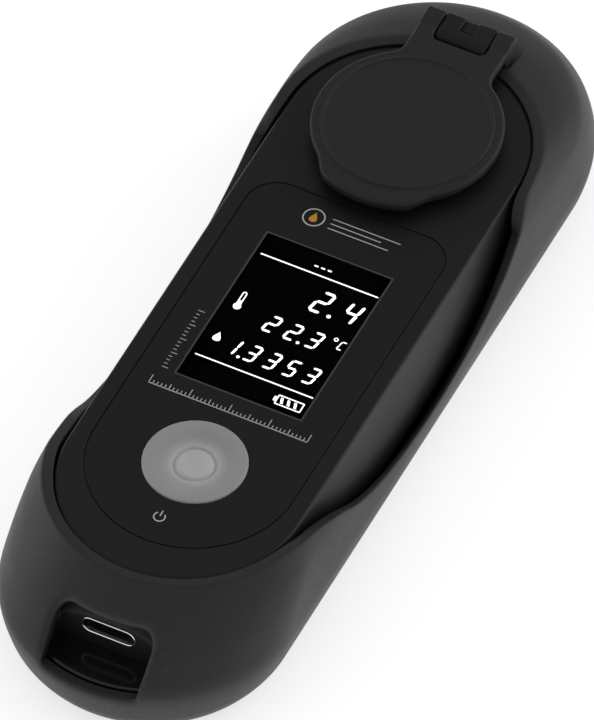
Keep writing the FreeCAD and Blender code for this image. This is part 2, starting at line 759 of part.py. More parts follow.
def make_display_window():
    """The clear window: a plate under the film, and a step that fills the film's opening."""
    body = new_body("display_window")
    block(body, "Additive", "plate", ("panel_width", "panel_length", "window_plate"),
          ("-panel_width / 2", "-display_centre - panel_length / 2", "window_base"))
    block(body, "Additive", "step",
          ("display_width - 2 * window_gap", "display_length - 2 * window_gap", "label_depth - window_setback"),
          ("-display_width / 2 + window_gap", "-display_centre - display_length / 2 + window_gap",
           "face_level - label_depth"))
    return body


def display_box(label, base, depth):
    """A sub-part with the display panel's outline."""
    return plain_box(label, ("panel_width", "panel_length", depth),
                     ("-panel_width / 2", "-display_centre - panel_length / 2", base))


def make_display_holder():
    """The frame that carries the display on the circuit board."""
    body = new_body("display_holder")
    height = "panel_base - backlight_depth - board_top"
    block(body, "Additive", "outside", ("panel_width", "panel_length", height),
          ("-panel_width / 2", "-display_centre - panel_length / 2", "board_top"))
    block(body, "Subtractive", "inside",
          ("panel_width - 2 * holder_rim", "panel_length - 2 * holder_rim", height),
          ("-panel_width / 2 + holder_rim", "-display_centre - panel_length / 2 + holder_rim", "board_top"))
    return body


def make_display_ribbon():
    """The flat cable that turns back from the panel's end down to the circuit board."""
    body = new_body("display_ribbon")
    sketch = flat_sketch(body, "path", "YZ_Plane")
    end, leg, low, high, depth = 12.0, 14.0, 14.6, 20.2, 0.2
    middle = (low + high) / 2
    bend = (high - low) / 2
    quarter = math.pi / 2
    sketch.addGeometry([
        line((end, high), (leg, high)),
        arc((leg, middle), bend, -quarter, quarter),
        line((leg, low), (end, low)),
        line((end, low), (end, low + depth)),
        line((end, low + depth), (leg, low + depth)),
        arc((leg, middle), bend - depth, -quarter, quarter),
        line((leg, high - depth), (end, high - depth)),
        line((end, high - depth), (end, high)),
    ])
    hold(sketch, "Tangent", 0, 2, 1, 2)
    hold(sketch, "Tangent", 1, 1, 2, 1)
    hold(sketch, "Coincident", 2, 2, 3, 1)
    hold(sketch, "Coincident", 3, 2, 4, 1)
    hold(sketch, "Tangent", 4, 2, 5, 1)
    hold(sketch, "Tangent", 5, 2, 6, 1)
    hold(sketch, "Coincident", 6, 2, 7, 1)
    hold(sketch, "Coincident", 7, 2, 0, 1)
    hold(sketch, "Coincident", 1, 3, 5, 3)
    for number in (0, 2, 4, 6):
        hold(sketch, "Horizontal", number)
    for number in (3, 7):
        hold(sketch, "Vertical", number)
    hold(sketch, "Vertical", 0, 1, 2, 2)
    fix(sketch, "start", "panel_length / 2 - display_centre", "DistanceX", -1, 1, 0, 1, end)
    fix(sketch, "leg", "ribbon_leg", "DistanceX", 0, 1, 1, 3, leg - end)
    fix(sketch, "low", "board_top", "DistanceY", -1, 1, 2, 2, low)
    fix(sketch, "high", "panel_base + 1.5 * ribbon_depth", "DistanceY", -1, 1, 0, 1, high)
    fix(sketch, "depth", "ribbon_depth", "DistanceY", 3, 1, 3, 2, depth)
    extrude(body, "Pad", sketch, "ribbon_width", both_ways=True)
    return body


def button_profile(body, name):
    """Half of the button's section: stem, flange, side, rim, dish, moat and nub, from the axis and back to it."""
    sketch = flat_sketch(body, name, "XZ_Plane")
    points = (
        ("stem_axis", "0", "button_base - button_stem_length"),
        ("stem_foot", "button_stem_radius", "button_base - button_stem_length"),
        ("stem_head", "button_stem_radius", "button_base"),
        ("flange_foot", "button_flange_radius", "button_base"),
        ("flange_head", "button_flange_radius", "button_base + button_flange_depth"),
        ("side_foot", "button_radius", "button_base + button_flange_depth"),
        ("side_head", "button_radius", "button_top"),
        ("rim", "button_radius - button_dish_margin", "button_top"),
        ("dish", "button_nub_radius + button_moat_width", "button_top - button_dish_depth"),
        ("moat_outer", "button_nub_radius + button_moat_width",
         "button_top - button_dish_depth - button_moat_depth"),
        ("moat_inner", "button_nub_radius", "button_top - button_dish_depth - button_moat_depth"),
        ("nub_edge", "button_nub_radius", "button_top - button_dish_depth"),
        ("nub_axis", "0", "button_top - button_dish_depth"),
    )
    starts = [(0, 0), (2, 0), (2, 1), (9, 1), (9, 2), (8, 2), (8, 4), (7, 4), (4, 3), (4, 2), (3, 2), (3, 3), (0, 3)]
    last = len(points) - 1
    sketch.addGeometry([line(starts[n], starts[(n + 1) % len(starts)]) for n in range(len(starts))])
    for number in range(len(points)):
        hold(sketch, "Coincident", number, 2, (number + 1) % len(points), 1)
    for number, (name, across, up) in enumerate(points):
        if number in (0, last):
            hold(sketch, "PointOnObject", number, 1, -2)
        else:
            fix(sketch, name + "_across", across, "DistanceX", -1, 1, number, 1, starts[number][0])
        fix(sketch, name + "_up", up, "DistanceY", -1, 1, number, 1, starts[number][1])
    return sketch


def make_button_cap():
    """The soft button: dished top with a round nub in a moat, a retaining flange and a stem below."""
    body = new_body("button_cap")
    turn = body.newObject("PartDesign::Revolution", "turned_form")
    profile = button_profile(body, "section")
    turn.Profile = profile
    turn.ReferenceAxis = (profile, ["V_Axis"])
    turn.Angle = 360
    bind(body, "Placement.Base.y", "-button_centre")
    return body


def make_switch_body():
    """The push switch under the button, with a well that guides its plunger."""
    body = new_body("switch_body")
    block(body, "Additive", "case", ("switch_side", "switch_side", "switch_height"),
          ("-switch_side / 2", "-button_centre - switch_side / 2", "board_top"))
    barrel(body, "Subtractive", "well", "plunger_radius + plunger_clearance", "switch_well",
           ("0", "-button_centre", "board_top + switch_height - switch_well"))
    return body


def make_switch_plunger():
    """The switch's plunger, which fills the height from just above the well's floor to the button's stem."""
    top = "button_base - button_stem_length"
    base = "board_top + switch_height - plunger_depth"
    return plain_barrel("switch_plunger", "plunger_radius", "%s - (%s)" % (top, base),
                        ("0", "-button_centre", base))


# Circuit board, chips and battery

def make_main_board():
    """The circuit board, with a narrower end cut out round the port's shell, and drilled for its screws."""
    body = new_body("main_board")
    block(body, "Additive", "plate", ("2 * board_half_width", "board_shoulder + board_high_end", "board_depth"),
          ("-board_half_width", "-board_shoulder", "board_level"))
    block(body, "Additive", "tongue", ("2 * board_tongue_half_width", "board_low_end", "board_depth"),
          ("-board_tongue_half_width", "-board_low_end", "board_level"))
    block(body, "Subtractive", "port_notch",
          ("shell_width", "shell_length + shell_setback + board_low_end - port_plane", "board_depth"),
          ("-shell_width / 2", "-board_low_end", "board_level"))
    for number, (across, along) in enumerate(board_screw_points(), start=1):
        barrel(body, "Subtractive", "screw_hole_%d" % number, "small_screw_radius + head_clearance / 2",
               "board_depth", (across, along, "board_level"))
    return body


def make_chip(label, side, across, along):
    """A square chip on the underside of the circuit board."""
    return plain_box(label, (side, side, "chip_depth"),
                     ("%s - %s / 2" % (across, side), "%s - %s / 2" % (along, side), "board_level - chip_depth"))


def make_battery():
    """The flat battery cell, on the pad that holds it to the floor."""
    width = "2 * board_half_width"
    across = "-board_half_width"
    cell = plain_box("battery_cell", (width, "battery_length", "battery_depth"),
                     (across, "-battery_low_end", "inner_floor + pad_depth"))
    pad = plain_box("battery_pad", (width, "battery_length", "pad_depth"),
                    (across, "-battery_low_end", "inner_floor"))
    return cell, pad


def make_battery_plug():
    return plain_box("battery_plug", ("plug_width", "plug_length", "plug_depth"),
                     ("-plug_width / 2", "plug_place", "board_level - plug_depth"))


def make_battery_lead(label, side):
    """One of the battery's two leads: out of the cell, up in one bend and level again into the plug."""
    across = side * size_of("lead_spread") / 2
    low = size_of("sleeve_floor") + size_of("case_wall") + size_of("pad_depth") + size_of("battery_depth") / 2
    high = size_of("board_level") - size_of("plug_depth") / 2
    start = size_of("battery_length") - size_of("battery_low_end")
    end = size_of("plug_place")
    bend = size_of("lead_bend")
    middle = (start + end) / 2
    run = math.hypot(high - low, 2 * bend)
    turn = 2 * math.atan((high - low) / (2 * bend)) if high - low < 2 * bend else math.pi / 2
    along = bend * math.sin(turn)
    rise = bend * (1 - math.cos(turn))
    slope = (high - low - 2 * rise)
    first = middle - along - slope / 2 / math.tan(turn) if turn < math.pi / 2 else middle - along
    last = 2 * middle - first

    def point(y, z):
        return Vector(across, y, z)

    def half_turn(y, z, sign):
        return point(y + sign * bend * math.sin(turn / 2), z + sign * bend * (1 - math.cos(turn / 2)))

    lower_end = point(first + along, low + rise)
    upper_start = point(last - along, high - rise)
    edges = [Part.LineSegment(point(start, low), point(first, low)).toShape(),
             Part.Arc(point(first, low), half_turn(first, low, 1), lower_end).toShape()]
    if (upper_start - lower_end).Length > 1e-6:
        edges.append(Part.LineSegment(lower_end, upper_start).toShape())
    edges.append(Part.Arc(upper_start, half_turn(last, high, -1), point(last, high)).toShape())
    edges.append(Part.LineSegment(point(last, high), point(end, high)).toShape())
    path = Part.Wire(edges)
    ring = Part.Wire(Part.Circle(point(start, low), Vector(0, 1, 0), size_of("lead_radius")).toShape())
    piece = doc.addObject("Part::Feature", label)
    piece.Label = label
    piece.Shape = path.makePipeShell([ring], True, False)
    piece.Placement = FreeCAD.Placement()
    return piece


# Sample well, optics and their block

def make_sample_well():
    """The steel dish: a flat rim on the face, a sloping bowl, and a round window over the prism."""
    body = new_body("sample_well")
    axis = ("0", "well_centre")
    barrel(body, "Additive", "rim", "well_rim_radius", "well_rim_depth", axis + ("face_level - well_rim_depth",))
    barrel(body, "Additive", "bowl", "well_radius", "well_depth + well_metal", axis + ("prism_level",))
    hollow = body.newObject("PartDesign::SubtractiveCone", "hollow")
    bind(hollow, "Radius1", "well_window_radius + well_metal")
    bind(hollow, "Radius2", "well_radius - well_metal")
    bind(hollow, "Height", "well_depth")
    put(hollow, axis + ("face_level - well_depth",))
    barrel(body, "Subtractive", "window", "well_window_radius", "well_metal", axis + ("prism_level",))
    return body


def make_prism():
    """The glass prism: a long flat top under the dish's window, two slanted sides and a shorter foot."""
    body = new_body("prism")
    sketch = flat_sketch(body, "side", "YZ_Plane")
    middle, top, foot, high, low = 36.0, 6.0, 3.0, 19.0, 13.0
    sketch.addGeometry([
        line((middle - top, high), (middle - foot, low)),
        line((middle - foot, low), (middle + foot, low)),
        line((middle + foot, low), (middle + top, high)),
        line((middle + top, high), (middle - top, high)),
    ])
    for number in range(4):
        hold(sketch, "Coincident", number, 2, (number + 1) % 4, 1)
    hold(sketch, "Horizontal", 1)
    hold(sketch, "Horizontal", 3)
    fix(sketch, "top_start", "well_centre - prism_top / 2", "DistanceX", -1, 1, 0, 1, middle - top)
    fix(sketch, "foot_start", "well_centre - prism_foot / 2", "DistanceX", -1, 1, 1, 1, middle - foot)
    fix(sketch, "foot", "prism_foot", "DistanceX", 1, 1, 1, 2, 2 * foot)
    fix(sketch, "top", "prism_top", "DistanceX", 3, 2, 3, 1, 2 * top)
    fix(sketch, "high", "prism_level", "DistanceY", -1, 1, 0, 1, high)
    fix(sketch, "height", "prism_height", "DistanceY", 1, 1, 0, 1, high - low)
    extrude(body, "Pad", sketch, "prism_width", both_ways=True)
    return body


def make_prism_seal():
    """The flat ring of rubber round the prism, under the dish."""
    body = new_body("prism_seal")
    block(body, "Additive", "outside",
          ("prism_width + 2 * prism_gap + 4 * seal_radius", "prism_top + 2 * prism_gap + 4 * seal_radius",
           "block_top_gap"),
          ("-prism_width / 2 - prism_gap - 2 * seal_radius",
           "well_centre - prism_top / 2 - prism_gap - 2 * seal_radius", "block_top"))
    block(body, "Subtractive", "inside",
          ("prism_width + 2 * prism_gap", "prism_top + 2 * prism_gap", "block_top_gap"),
          ("-prism_width / 2 - prism_gap", "well_centre - prism_top / 2 - prism_gap", "block_top"))
    return body


def make_optic_block():
    """The black block that holds lamp, lens, prism and sensor in line."""
    body = new_body("optic_block")
    block(body, "Additive", "block", ("2 * block_half_width", "block_high_end - block_low_end",
                                      "block_top - block_base"),
          ("-block_half_width", "block_low_end", "block_base"))
    block(body, "Subtractive", "prism_seat",
          ("prism_width + 2 * prism_gap", "prism_top + 2 * prism_gap", "prism_height - block_top_gap + prism_gap"),
          ("-prism_width / 2 - prism_gap", "well_centre - prism_top / 2 - prism_gap",
           "prism_level - prism_height - prism_gap"))
    barrel(body, "Subtractive", "light_bore", "light_bore", "well_centre - block_low_end",
           ("0", "block_low_end", "light_level"), TO_Y)
    block(body, "Subtractive", "chamber",
          ("2 * chamber_half_width", "block_high_end - well_centre", "2 * chamber_half_height"),
          ("-chamber_half_width", "well_centre", "light_level - chamber_half_height"))
    barrel(body, "Subtractive", "thermistor_hole", "thermistor_radius", "thermistor_length",
           ("thermistor_place", "well_centre", "block_top - thermistor_length"))
    for number, (across, along) in enumerate(optic_screw_points(), start=1):
        barrel(body, "Subtractive", "screw_hole_%d" % number, "small_screw_radius + head_clearance / 2",
               "block_top - block_base", (across, along, "block_base"))
        barrel(body, "Subtractive", "screw_well_%d" % number, "small_head_radius + head_clearance",
               "optic_screw_level - block_base", (across, along, "block_base"))
    return body


def make_light_parts():
    """The lamp at the mouth of the light bore, and the lens ahead of it."""
    bulb = plain_barrel("light_source", "light_bore", "bulb_length", ("0", "block_low_end", "light_level"), TO_Y)
    lens = plain_barrel("collimating_lens", "light_bore", "lens_depth", ("0", "lens_place", "light_level"), TO_Y)
    return bulb, lens


def make_sensor_parts():
    """The sensor's board on the block's far end, its line sensor inside the chamber, and the thermistor."""
    board = plain_box("sensor_board",
                      ("2 * block_half_width", "sensor_board_depth", "light_level + sensor_board_rise - block_base"),
                      ("-block_half_width", "block_high_end", "block_base"))
    sensor = plain_box("line_sensor", ("sensor_width", "sensor_depth", "sensor_height"),
                       ("-sensor_width / 2", "block_high_end - sensor_depth", "light_level - sensor_height / 2"))
    thermistor = plain_barrel("thermistor", "thermistor_radius", "thermistor_length",
                              ("thermistor_place", "well_centre", "block_top - thermistor_length"))
    return board, sensor, thermistor


def make_sensor_flex():
    """The flat cable on edge, from the circuit board's end along the optical block to the sensor's board."""
    body = new_body("sensor_flex")
    sketch = flat_sketch(body, "path", "XY_Plane", "board_level - flex_height / 2")
    side, end, low, high, bend, depth = 11.8, 9.0, 17.0, 54.0, 0.8, 0.2
    sketch.addGeometry([
        line((side, low), (side, high - bend)),
        arc((side - bend, high - bend), bend, 0, math.pi / 2),
        line((side - bend, high), (end - bend, high)),
        line((end - bend, high), (end - bend, high - depth)),
        line((end - bend, high - depth), (side - bend, high - depth)),
        arc((side - bend, high - bend), bend - depth, 0, math.pi / 2),
        line((side - depth, high - bend), (side - depth, low)),
        line((side - depth, low), (side, low)),
    ])
    hold(sketch, "Tangent", 0, 2, 1, 1)
    hold(sketch, "Tangent", 1, 2, 2, 1)
    hold(sketch, "Coincident", 2, 2, 3, 1)
    hold(sketch, "Coincident", 3, 2, 4, 1)
    hold(sketch, "Tangent", 4, 2, 5, 2)
    hold(sketch, "Tangent", 5, 1, 6, 1)
    hold(sketch, "Coincident", 6, 2, 7, 1)
    hold(sketch, "Coincident", 7, 2, 0, 1)
    hold(sketch, "Coincident", 1, 3, 5, 3)
    for number in (0, 3, 6):
        hold(sketch, "Vertical", number)
    for number in (2, 4, 7):
        hold(sketch, "Horizontal", number)
    across = "block_half_width + flex_gap + flex_depth"
    fix(sketch, "side", across, "DistanceX", -1, 1, 0, 1, side)
    fix(sketch, "low", "board_high_end", "DistanceY", -1, 1, 0, 1, low)
    fix(sketch, "high", "block_high_end + sensor_board_depth + flex_depth", "DistanceY", -1, 1, 2, 1, high)
    fix(sketch, "bend", "flex_gap + flex_depth", "Radius", 1, bend)
    fix(sketch, "depth", "flex_depth", "DistanceY", 3, 2, 3, 1, depth)
    fix(sketch, "end", "block_half_width - flex_height / 2", "DistanceX", -1, 1, 2, 2, end - bend)
    extrude(body, "Pad", sketch, "flex_height")
    return body


# Lid and hinge

def neck_outline(body, name):
    """The lid's neck from above: it leaves the round lid in two concave fillets and runs out to the hinge."""
    sketch = flat_sketch(body, name, "XY_Plane", "lid_base")
    centre = size_of("well_centre")
    radius = size_of("lid_radius")
    half = size_of("arm_outer")
    bend = size_of("neck_fillet")
    end = size_of("pin_place")
    across = half + bend
    reach = radius + bend
    along = math.sqrt(reach ** 2 - across ** 2)
    touch = (across * radius / reach, centre + along * radius / reach)
    facing = math.atan2(-along, -across)
    sketch.addGeometry([
        line((-touch[0], touch[1]), (touch[0], touch[1])),
        arc((across, centre + along), bend, math.pi, facing + ROUND),
        line((half, centre + along), (half, end)),
        line((half, end), (-half, end)),
        line((-half, end), (-half, centre + along)),
        arc((-across, centre + along), bend, math.pi - facing, ROUND),
    ])
    sketch.addGeometry(Part.Circle(Vector(0, centre, 0), UP, radius), True)
    hold(sketch, "Coincident", 0, 2, 1, 2)
    hold(sketch, "Tangent", 1, 1, 2, 1)
    hold(sketch, "Coincident", 2, 2, 3, 1)
    hold(sketch, "Coincident", 3, 2, 4, 1)
    hold(sketch, "Tangent", 4, 2, 5, 2)
    hold(sketch, "Coincident", 5, 1, 0, 1)
    hold(sketch, "Vertical", 2)
    hold(sketch, "Vertical", 4)
    hold(sketch, "Equal", 1, 5)
    hold(sketch, "PointOnObject", 6, 3, -2)
    hold(sketch, "Tangent", 1, 2, 6)
    hold(sketch, "Symmetric", 0, 1, 0, 2, -2)
    hold(sketch, "Symmetric", 2, 2, 3, 2, -2)
    fix(sketch, "lid_radius", "lid_radius", "Radius", 6, radius)
    fix(sketch, "lid_centre", "well_centre", "DistanceY", -1, 1, 6, 3, centre)
    fix(sketch, "fillet", "neck_fillet", "Radius", 1, bend)
    fix(sketch, "half_width", "arm_outer", "DistanceX", -1, 1, 2, 2, half)
    fix(sketch, "end", "pin_place", "DistanceY", -1, 1, 2, 2, end)
    return sketch


def tab_outline(body, name):
    """The thumb tab from above: a band of a larger circle about the lid's centre, cut straight at both sides."""
    sketch = flat_sketch(body, name, "XY_Plane", "lid_base")
    centre = size_of("well_centre")
    radius = size_of("tab_radius")
    half = size_of("tab_half_width")
    turn = math.asin(half / radius)
    edge = centre - radius * math.cos(turn)
    down = 3 * math.pi / 2
    sketch.addGeometry([
        arc((0, centre), radius, down - turn, down + turn),
        line((half, edge), (half, centre)),
        line((half, centre), (-half, centre)),
        line((-half, centre), (-half, edge)),
    ])
    for number in range(4):
        hold(sketch, "Coincident", number, 2, (number + 1) % 4, 1)
    hold(sketch, "Vertical", 1)
    hold(sketch, "Vertical", 3)
    hold(sketch, "PointOnObject", 0, 3, -2)
    hold(sketch, "Symmetric", 1, 2, 2, 2, 0, 3)
    fix(sketch, "radius", "tab_radius", "Radius", 0, radius)
    fix(sketch, "centre", "well_centre", "DistanceY", -1, 1, 0, 3, centre)
    fix(sketch, "half_width", "tab_half_width", "DistanceX", -1, 1, 1, 2, half)
    return sketch


def make_lid():
    """The round lid: a plate with a raised bead and a slight step inside it, a thumb tab, a neck and two arms."""
    body = new_body("lid")
    axis = ("0", "well_centre")
    barrel(body, "Additive", "plate", "lid_radius", "lid_depth", axis + ("lid_base",))
    barrel(body, "Additive", "crown", "lid_bead_radius", "lid_crown", axis + ("lid_base + lid_depth",))
    bead = body.newObject("PartDesign::AdditiveTorus", "bead")
    bind(bead, "Radius1", "lid_bead_radius")
    bind(bead, "Radius2", "lid_bead_size")
    put(bead, axis + ("lid_base + lid_depth",))
    extrude(body, "Pad", tab_outline(body, "tab"), "tab_depth")
    extrude(body, "Pad", neck_outline(body, "neck"), "pin_rise - lid_lift + arm_boss_radius")
    barrel(body, "Additive", "boss", "arm_boss_radius", "2 * arm_outer", ("-arm_outer", "pin_place", "pin_level"),
           TO_X)
    block(body, "Subtractive", "arm_gap",
          ("2 * arm_inner", "lug_front + lid_window_gap + 2 * arm_boss_radius", "3 * arm_boss_radius"),
          ("-arm_inner", "pin_place - lug_front - lid_window_gap", "pin_level - 3 * arm_boss_radius / 2"))
    barrel(body, "Subtractive", "pin_bore", "pin_radius + pin_clearance", "2 * arm_outer",
           ("-arm_outer", "pin_place", "pin_level"), TO_X)
    barrel(body, "Subtractive", "seal_groove", "lid_seal_radius + lid_seal_width / 2", "lid_seal_groove",
           axis + ("lid_base",))
    barrel(body, "Additive", "groove_core", "lid_seal_radius - lid_seal_width / 2", "lid_seal_groove",
           axis + ("lid_base",))
    return body


def make_lid_seal():
    """The ring of rubber in the lid's underside, just clear of the face."""
    body = new_body("lid_seal")
    base = "lid_base + lid_seal_groove - lid_seal_height"
    axis = ("0", "well_centre", base)
    barrel(body, "Additive", "outside", "lid_seal_radius + lid_seal_width / 2", "lid_seal_height", axis)
    barrel(body, "Subtractive", "inside", "lid_seal_radius - lid_seal_width / 2", "lid_seal_height", axis)
    return body


def make_hinge_pin():
    """The steel pin through the lid's arms and the casing's lug."""
    return plain_barrel("hinge_pin", "pin_radius", "2 * (arm_outer - pin_end_inset)",
                        ("-(arm_outer - pin_end_inset)", "pin_place", "pin_level"), TO_X)


# Screws

def make_screws(label, points, head_radius, head_depth, head_base, shank_radius, shank_length):
    """Screws with their heads down, one at each point, as a group of separate solids."""
    screws = []
    for number, (across, along) in enumerate(points, start=1):
        head = plain_barrel("%s_head_%d" % (label, number), head_radius, head_depth, (across, along, head_base))
        shank = plain_barrel("%s_shank_%d" % (label, number), shank_radius, "%s + %s" % (head_depth, shank_length),
                             (across, along, head_base))
        screw = doc.addObject("Part::Fuse", "%s_%d" % (label, number))
        screw.Base = head
        screw.Tool = shank
        screws.append(screw)
    group = doc.addObject("Part::Compound", label)
    group.Label = label
    group.Links = screws
    return group


def make_all_screws():
    case_screws = make_screws("case_screws", boss_points(), "case_head_radius", "case_head_depth",
                              "sleeve_floor + head_recess - case_head_depth", "case_screw_radius",
                              "case_screw_length - head_recess")
    board_screws = make_screws("board_screws", board_screw_points(), "small_head_radius", "small_head_depth",
                               "board_level - small_head_depth", "small_screw_radius",
                               "board_depth + small_screw_grip")
    optic_screws = make_screws("optic_screws", optic_screw_points(), "small_head_radius", "small_head_depth",
                               "optic_screw_level - small_head_depth", "small_screw_radius",
                               "ceiling_level - optic_screw_level")
    return case_screws, board_screws, optic_screws


def check(thing):
    """Stops the build if an object failed to recompute."""
    bad = [word for word in ("Invalid", "Error") if word in thing.State]
    if bad:
        raise RuntimeError("%s is %s" % (thing.Name, ", ".join(bad)))


def write(pieces):
    """Checks the whole document, then writes each piece to its own file."""
    doc.recompute()
    for thing in doc.Objects:
        check(thing)
    os.makedirs("parts", exist_ok=True)
    for piece in pieces:
        shape = piece.Shape
        if shape.isNull() or not shape.isValid():
            raise RuntimeError("%s has no valid shape" % piece.Label)
        shape.exportStep("parts/%s.step" % piece.Label)
        print("%-18s %2d solid(s) %10.1f mm3" % (piece.Label, len(shape.Solids), shape.Volume))


write([
    make_sleeve(),
    make_top_case(),
    make_bottom_case(),
    make_case_gasket(),
    make_label_overlay(),
    make_display_window(),
    display_box("display_panel", "panel_base", "panel_depth"),
    display_box("backlight", "panel_base - backlight_depth", "backlight_depth"),
    make_display_holder(),
    make_display_ribbon(),
    make_button_cap(),
    make_switch_body(),
    make_switch_plunger(),
    make_main_board(),
    make_chip("controller_chip", "controller_side", "0", "-5"),
    make_chip("converter_chip", "converter_side", "0", "-20"),
    make_chip("charger_chip", "charger_side", "6", "-44"),
    *make_battery(),
    make_battery_plug(),
    make_battery_lead("battery_lead_red", -1),
    make_battery_lead("battery_lead_black", 1),
    make_port_shell(),
    make_port_tongue(),
    make_sample_well(),
    make_prism(),
    make_prism_seal(),
    make_optic_block(),
    *make_light_parts(),
    *make_sensor_parts(),
    make_sensor_flex(),
    make_lid(),
    make_lid_seal(),
    make_hinge_pin(),
    *make_all_screws(),
])
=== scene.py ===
import json
import math

import bpy
import bmesh
import numpy as np
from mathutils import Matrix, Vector
from mathutils.geometry import delaunay_2d_cdt


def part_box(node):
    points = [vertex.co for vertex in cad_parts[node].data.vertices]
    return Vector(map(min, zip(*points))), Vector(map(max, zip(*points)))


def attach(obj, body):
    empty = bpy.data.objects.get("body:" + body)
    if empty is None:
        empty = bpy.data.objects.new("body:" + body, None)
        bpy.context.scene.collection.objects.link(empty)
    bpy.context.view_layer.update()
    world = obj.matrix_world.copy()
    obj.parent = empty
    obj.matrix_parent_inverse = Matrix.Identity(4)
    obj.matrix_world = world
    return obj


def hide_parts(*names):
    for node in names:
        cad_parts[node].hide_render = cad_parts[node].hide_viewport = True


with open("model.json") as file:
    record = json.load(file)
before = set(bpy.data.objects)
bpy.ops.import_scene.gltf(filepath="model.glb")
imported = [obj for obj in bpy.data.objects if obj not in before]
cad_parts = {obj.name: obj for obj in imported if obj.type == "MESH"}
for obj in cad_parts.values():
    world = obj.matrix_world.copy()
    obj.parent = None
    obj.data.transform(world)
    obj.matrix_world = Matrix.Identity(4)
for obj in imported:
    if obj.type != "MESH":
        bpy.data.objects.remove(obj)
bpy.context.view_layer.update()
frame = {"nodes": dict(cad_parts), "record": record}

# Handheld digital refractometer. Lengths in this script are millimetres until a mesh is made.
# +Z is up out of the face, +Y runs to the lid's hinge, -Y to the charging port.

MM = 0.001
FLAT_ANGLE = math.radians(35)   # edges that turn more than this stay crisp


def span(node):
    """The lowest and highest corners of a CAD node, in millimetres."""
    low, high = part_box(node)
    return np.array(low) / MM, np.array(high) / MM


# Places that the frame gives
LABEL_LOW, LABEL_HIGH = span("label_overlay")
SLEEVE_HIGH = span("sleeve")[1]
TOP_LOW = span("top_case")[0]
WINDOW_LOW, WINDOW_HIGH = span("display_window")
PANEL_HIGH = span("display_panel")[1]
BUTTON_LOW, BUTTON_HIGH = span("button_cap")
WELL_LOW, WELL_HIGH = span("sample_well")
PIN_LOW, PIN_HIGH = span("hinge_pin")
PORT_LOW, PORT_HIGH = span("port_shell")
TONGUE_LOW, TONGUE_HIGH = span("port_tongue")

FACE = LABEL_HIGH[2]
PARTING = TOP_LOW[2]
CREST = SLEEVE_HIGH[2]       # the sleeve's rim where it is level
BUTTON_Y = (BUTTON_LOW[1] + BUTTON_HIGH[1]) / 2
DISPLAY_Y = (WINDOW_LOW[1] + WINDOW_HIGH[1]) / 2
WELL_Y = (WELL_LOW[1] + WELL_HIGH[1]) / 2
PIN_Y = (PIN_LOW[1] + PIN_HIGH[1]) / 2
PIN_Z = (PIN_LOW[2] + PIN_HIGH[2]) / 2
PORT_Z = (PORT_LOW[2] + PORT_HIGH[2]) / 2

# Outline of the casing at five heights: height, half width, reach to -Y, reach to +Y
CASE_RINGS = np.array([
    (1.8, 17.3, 65.55, 65.55),
    (5.0, 19.5, 67.75, 67.75),
    (9.9, 20.6, 68.85, 68.85),
    (18.5, 19.3, 60.9, 64.6),
    (22.5, 18.9, 56.75, 53.45),
])
# Outline of the rubber sleeve in the same way
SLEEVE_RINGS = np.array([
    (0.0, 18.3, 66.55, 66.55),
    (2.0, 20.3, 68.55, 68.55),
    (5.0, 21.8, 70.05, 70.05),
    (9.9, 22.7, 70.95, 70.95),
    (14.2, 22.55, 68.1, 69.9),
    (18.5, 22.2, 63.75, 66.9),
    (21.0, 21.6, 60.95, 61.9),
    (23.0, 20.9, 58.75, 55.45),
])
SLEEVE_GAP = 0.3          # between the casing and the sleeve's inner wall
SLEEVE_FLOOR = 1.8
CASE_WALL = 1.8
DIP_Y = -2.55             # middle of the dips in the rim
DIP_REACH_LOW = 46.0      # from the dip's middle to where the crest is level again, towards the port
DIP_REACH_HIGH = 41.0     # and towards the hinge
DIP_DEPTH = 12.2
PORT_WALL = -62.55        # the upright wall that holds the charging port
NOTCH_HALF = 7.8          # half width of the sleeve's window round the port
NOTCH_CORNER = 2.4        # of the port window's upper corners
NOTCH_CORNER_LOW = 1.0
NOTCH_FLOOR = 9.5
NOTCH_LIP = 18.2
NOTCH_LIP_INSIDE = 16.9
ARM_INNER = 4.3
ARM_OUTER = 7.3
ARM_BOSS = 2.0            # how far each arm's end reaches above, below and behind the pin
HINGE_ROOM = 0.45
BUTTON_HOLE = 8.0         # radius of the button's hole in the film and the casing
WELL_DEPTH = 2.4          # of the dish below the face
LUG_HALF = 4.1
LID_Z = 23.4              # underside of the closed lid
LID_PLATE_TOP = 25.7      # the flange, the tab and the neck lie level
LID_RADIUS = 14.5
BEAD_RADIUS = 12.7
TAB_RADIUS = 16.15
OPENING = np.array([21.05, 30.8])   # the display's opening in the film and the casing


# ---- lines and outlines ----

def smooth_rise(levels, rings):
    """Half width and reaches at any height: a cubic through the listed rings whose slope at each ring is
    the harmonic mean of the slopes beside it, so the wall never bulges past a ring."""
    z = rings[:, 0]
    values = rings[:, 1:]
    step = np.diff(z)
    slope = np.diff(values, axis=0) / step[:, None]
    product = slope[:-1] * slope[1:]
    total = slope[:-1] + slope[1:]
    total[np.abs(total) < 1e-9] = 1e-9
    middle = np.where(product > 0, 2 * product / total, 0.0)
    tangent = np.vstack([slope[:1], middle, slope[-1:]])
    height = np.clip(levels, z[0], z[-1])
    cell = np.clip(np.searchsorted(z, height, side="right") - 1, 0, len(z) - 2)
    size = step[cell][..., None]
    t = ((height - z[cell]) / step[cell])[..., None]
    return ((2 * t**3 - 3 * t**2 + 1) * values[cell] + (t**3 - 2 * t**2 + t) * size * tangent[cell]
            + (3 * t**2 - 2 * t**3) * values[cell + 1] + (t**3 - t**2) * size * tangent[cell + 1])


def straight_rise(levels, rings):
    """Half width and reaches at any height, along straight lines from ring to ring."""
    return np.stack([np.interp(levels, rings[:, 0], rings[:, k]) for k in (1, 2, 3)], axis=-1)


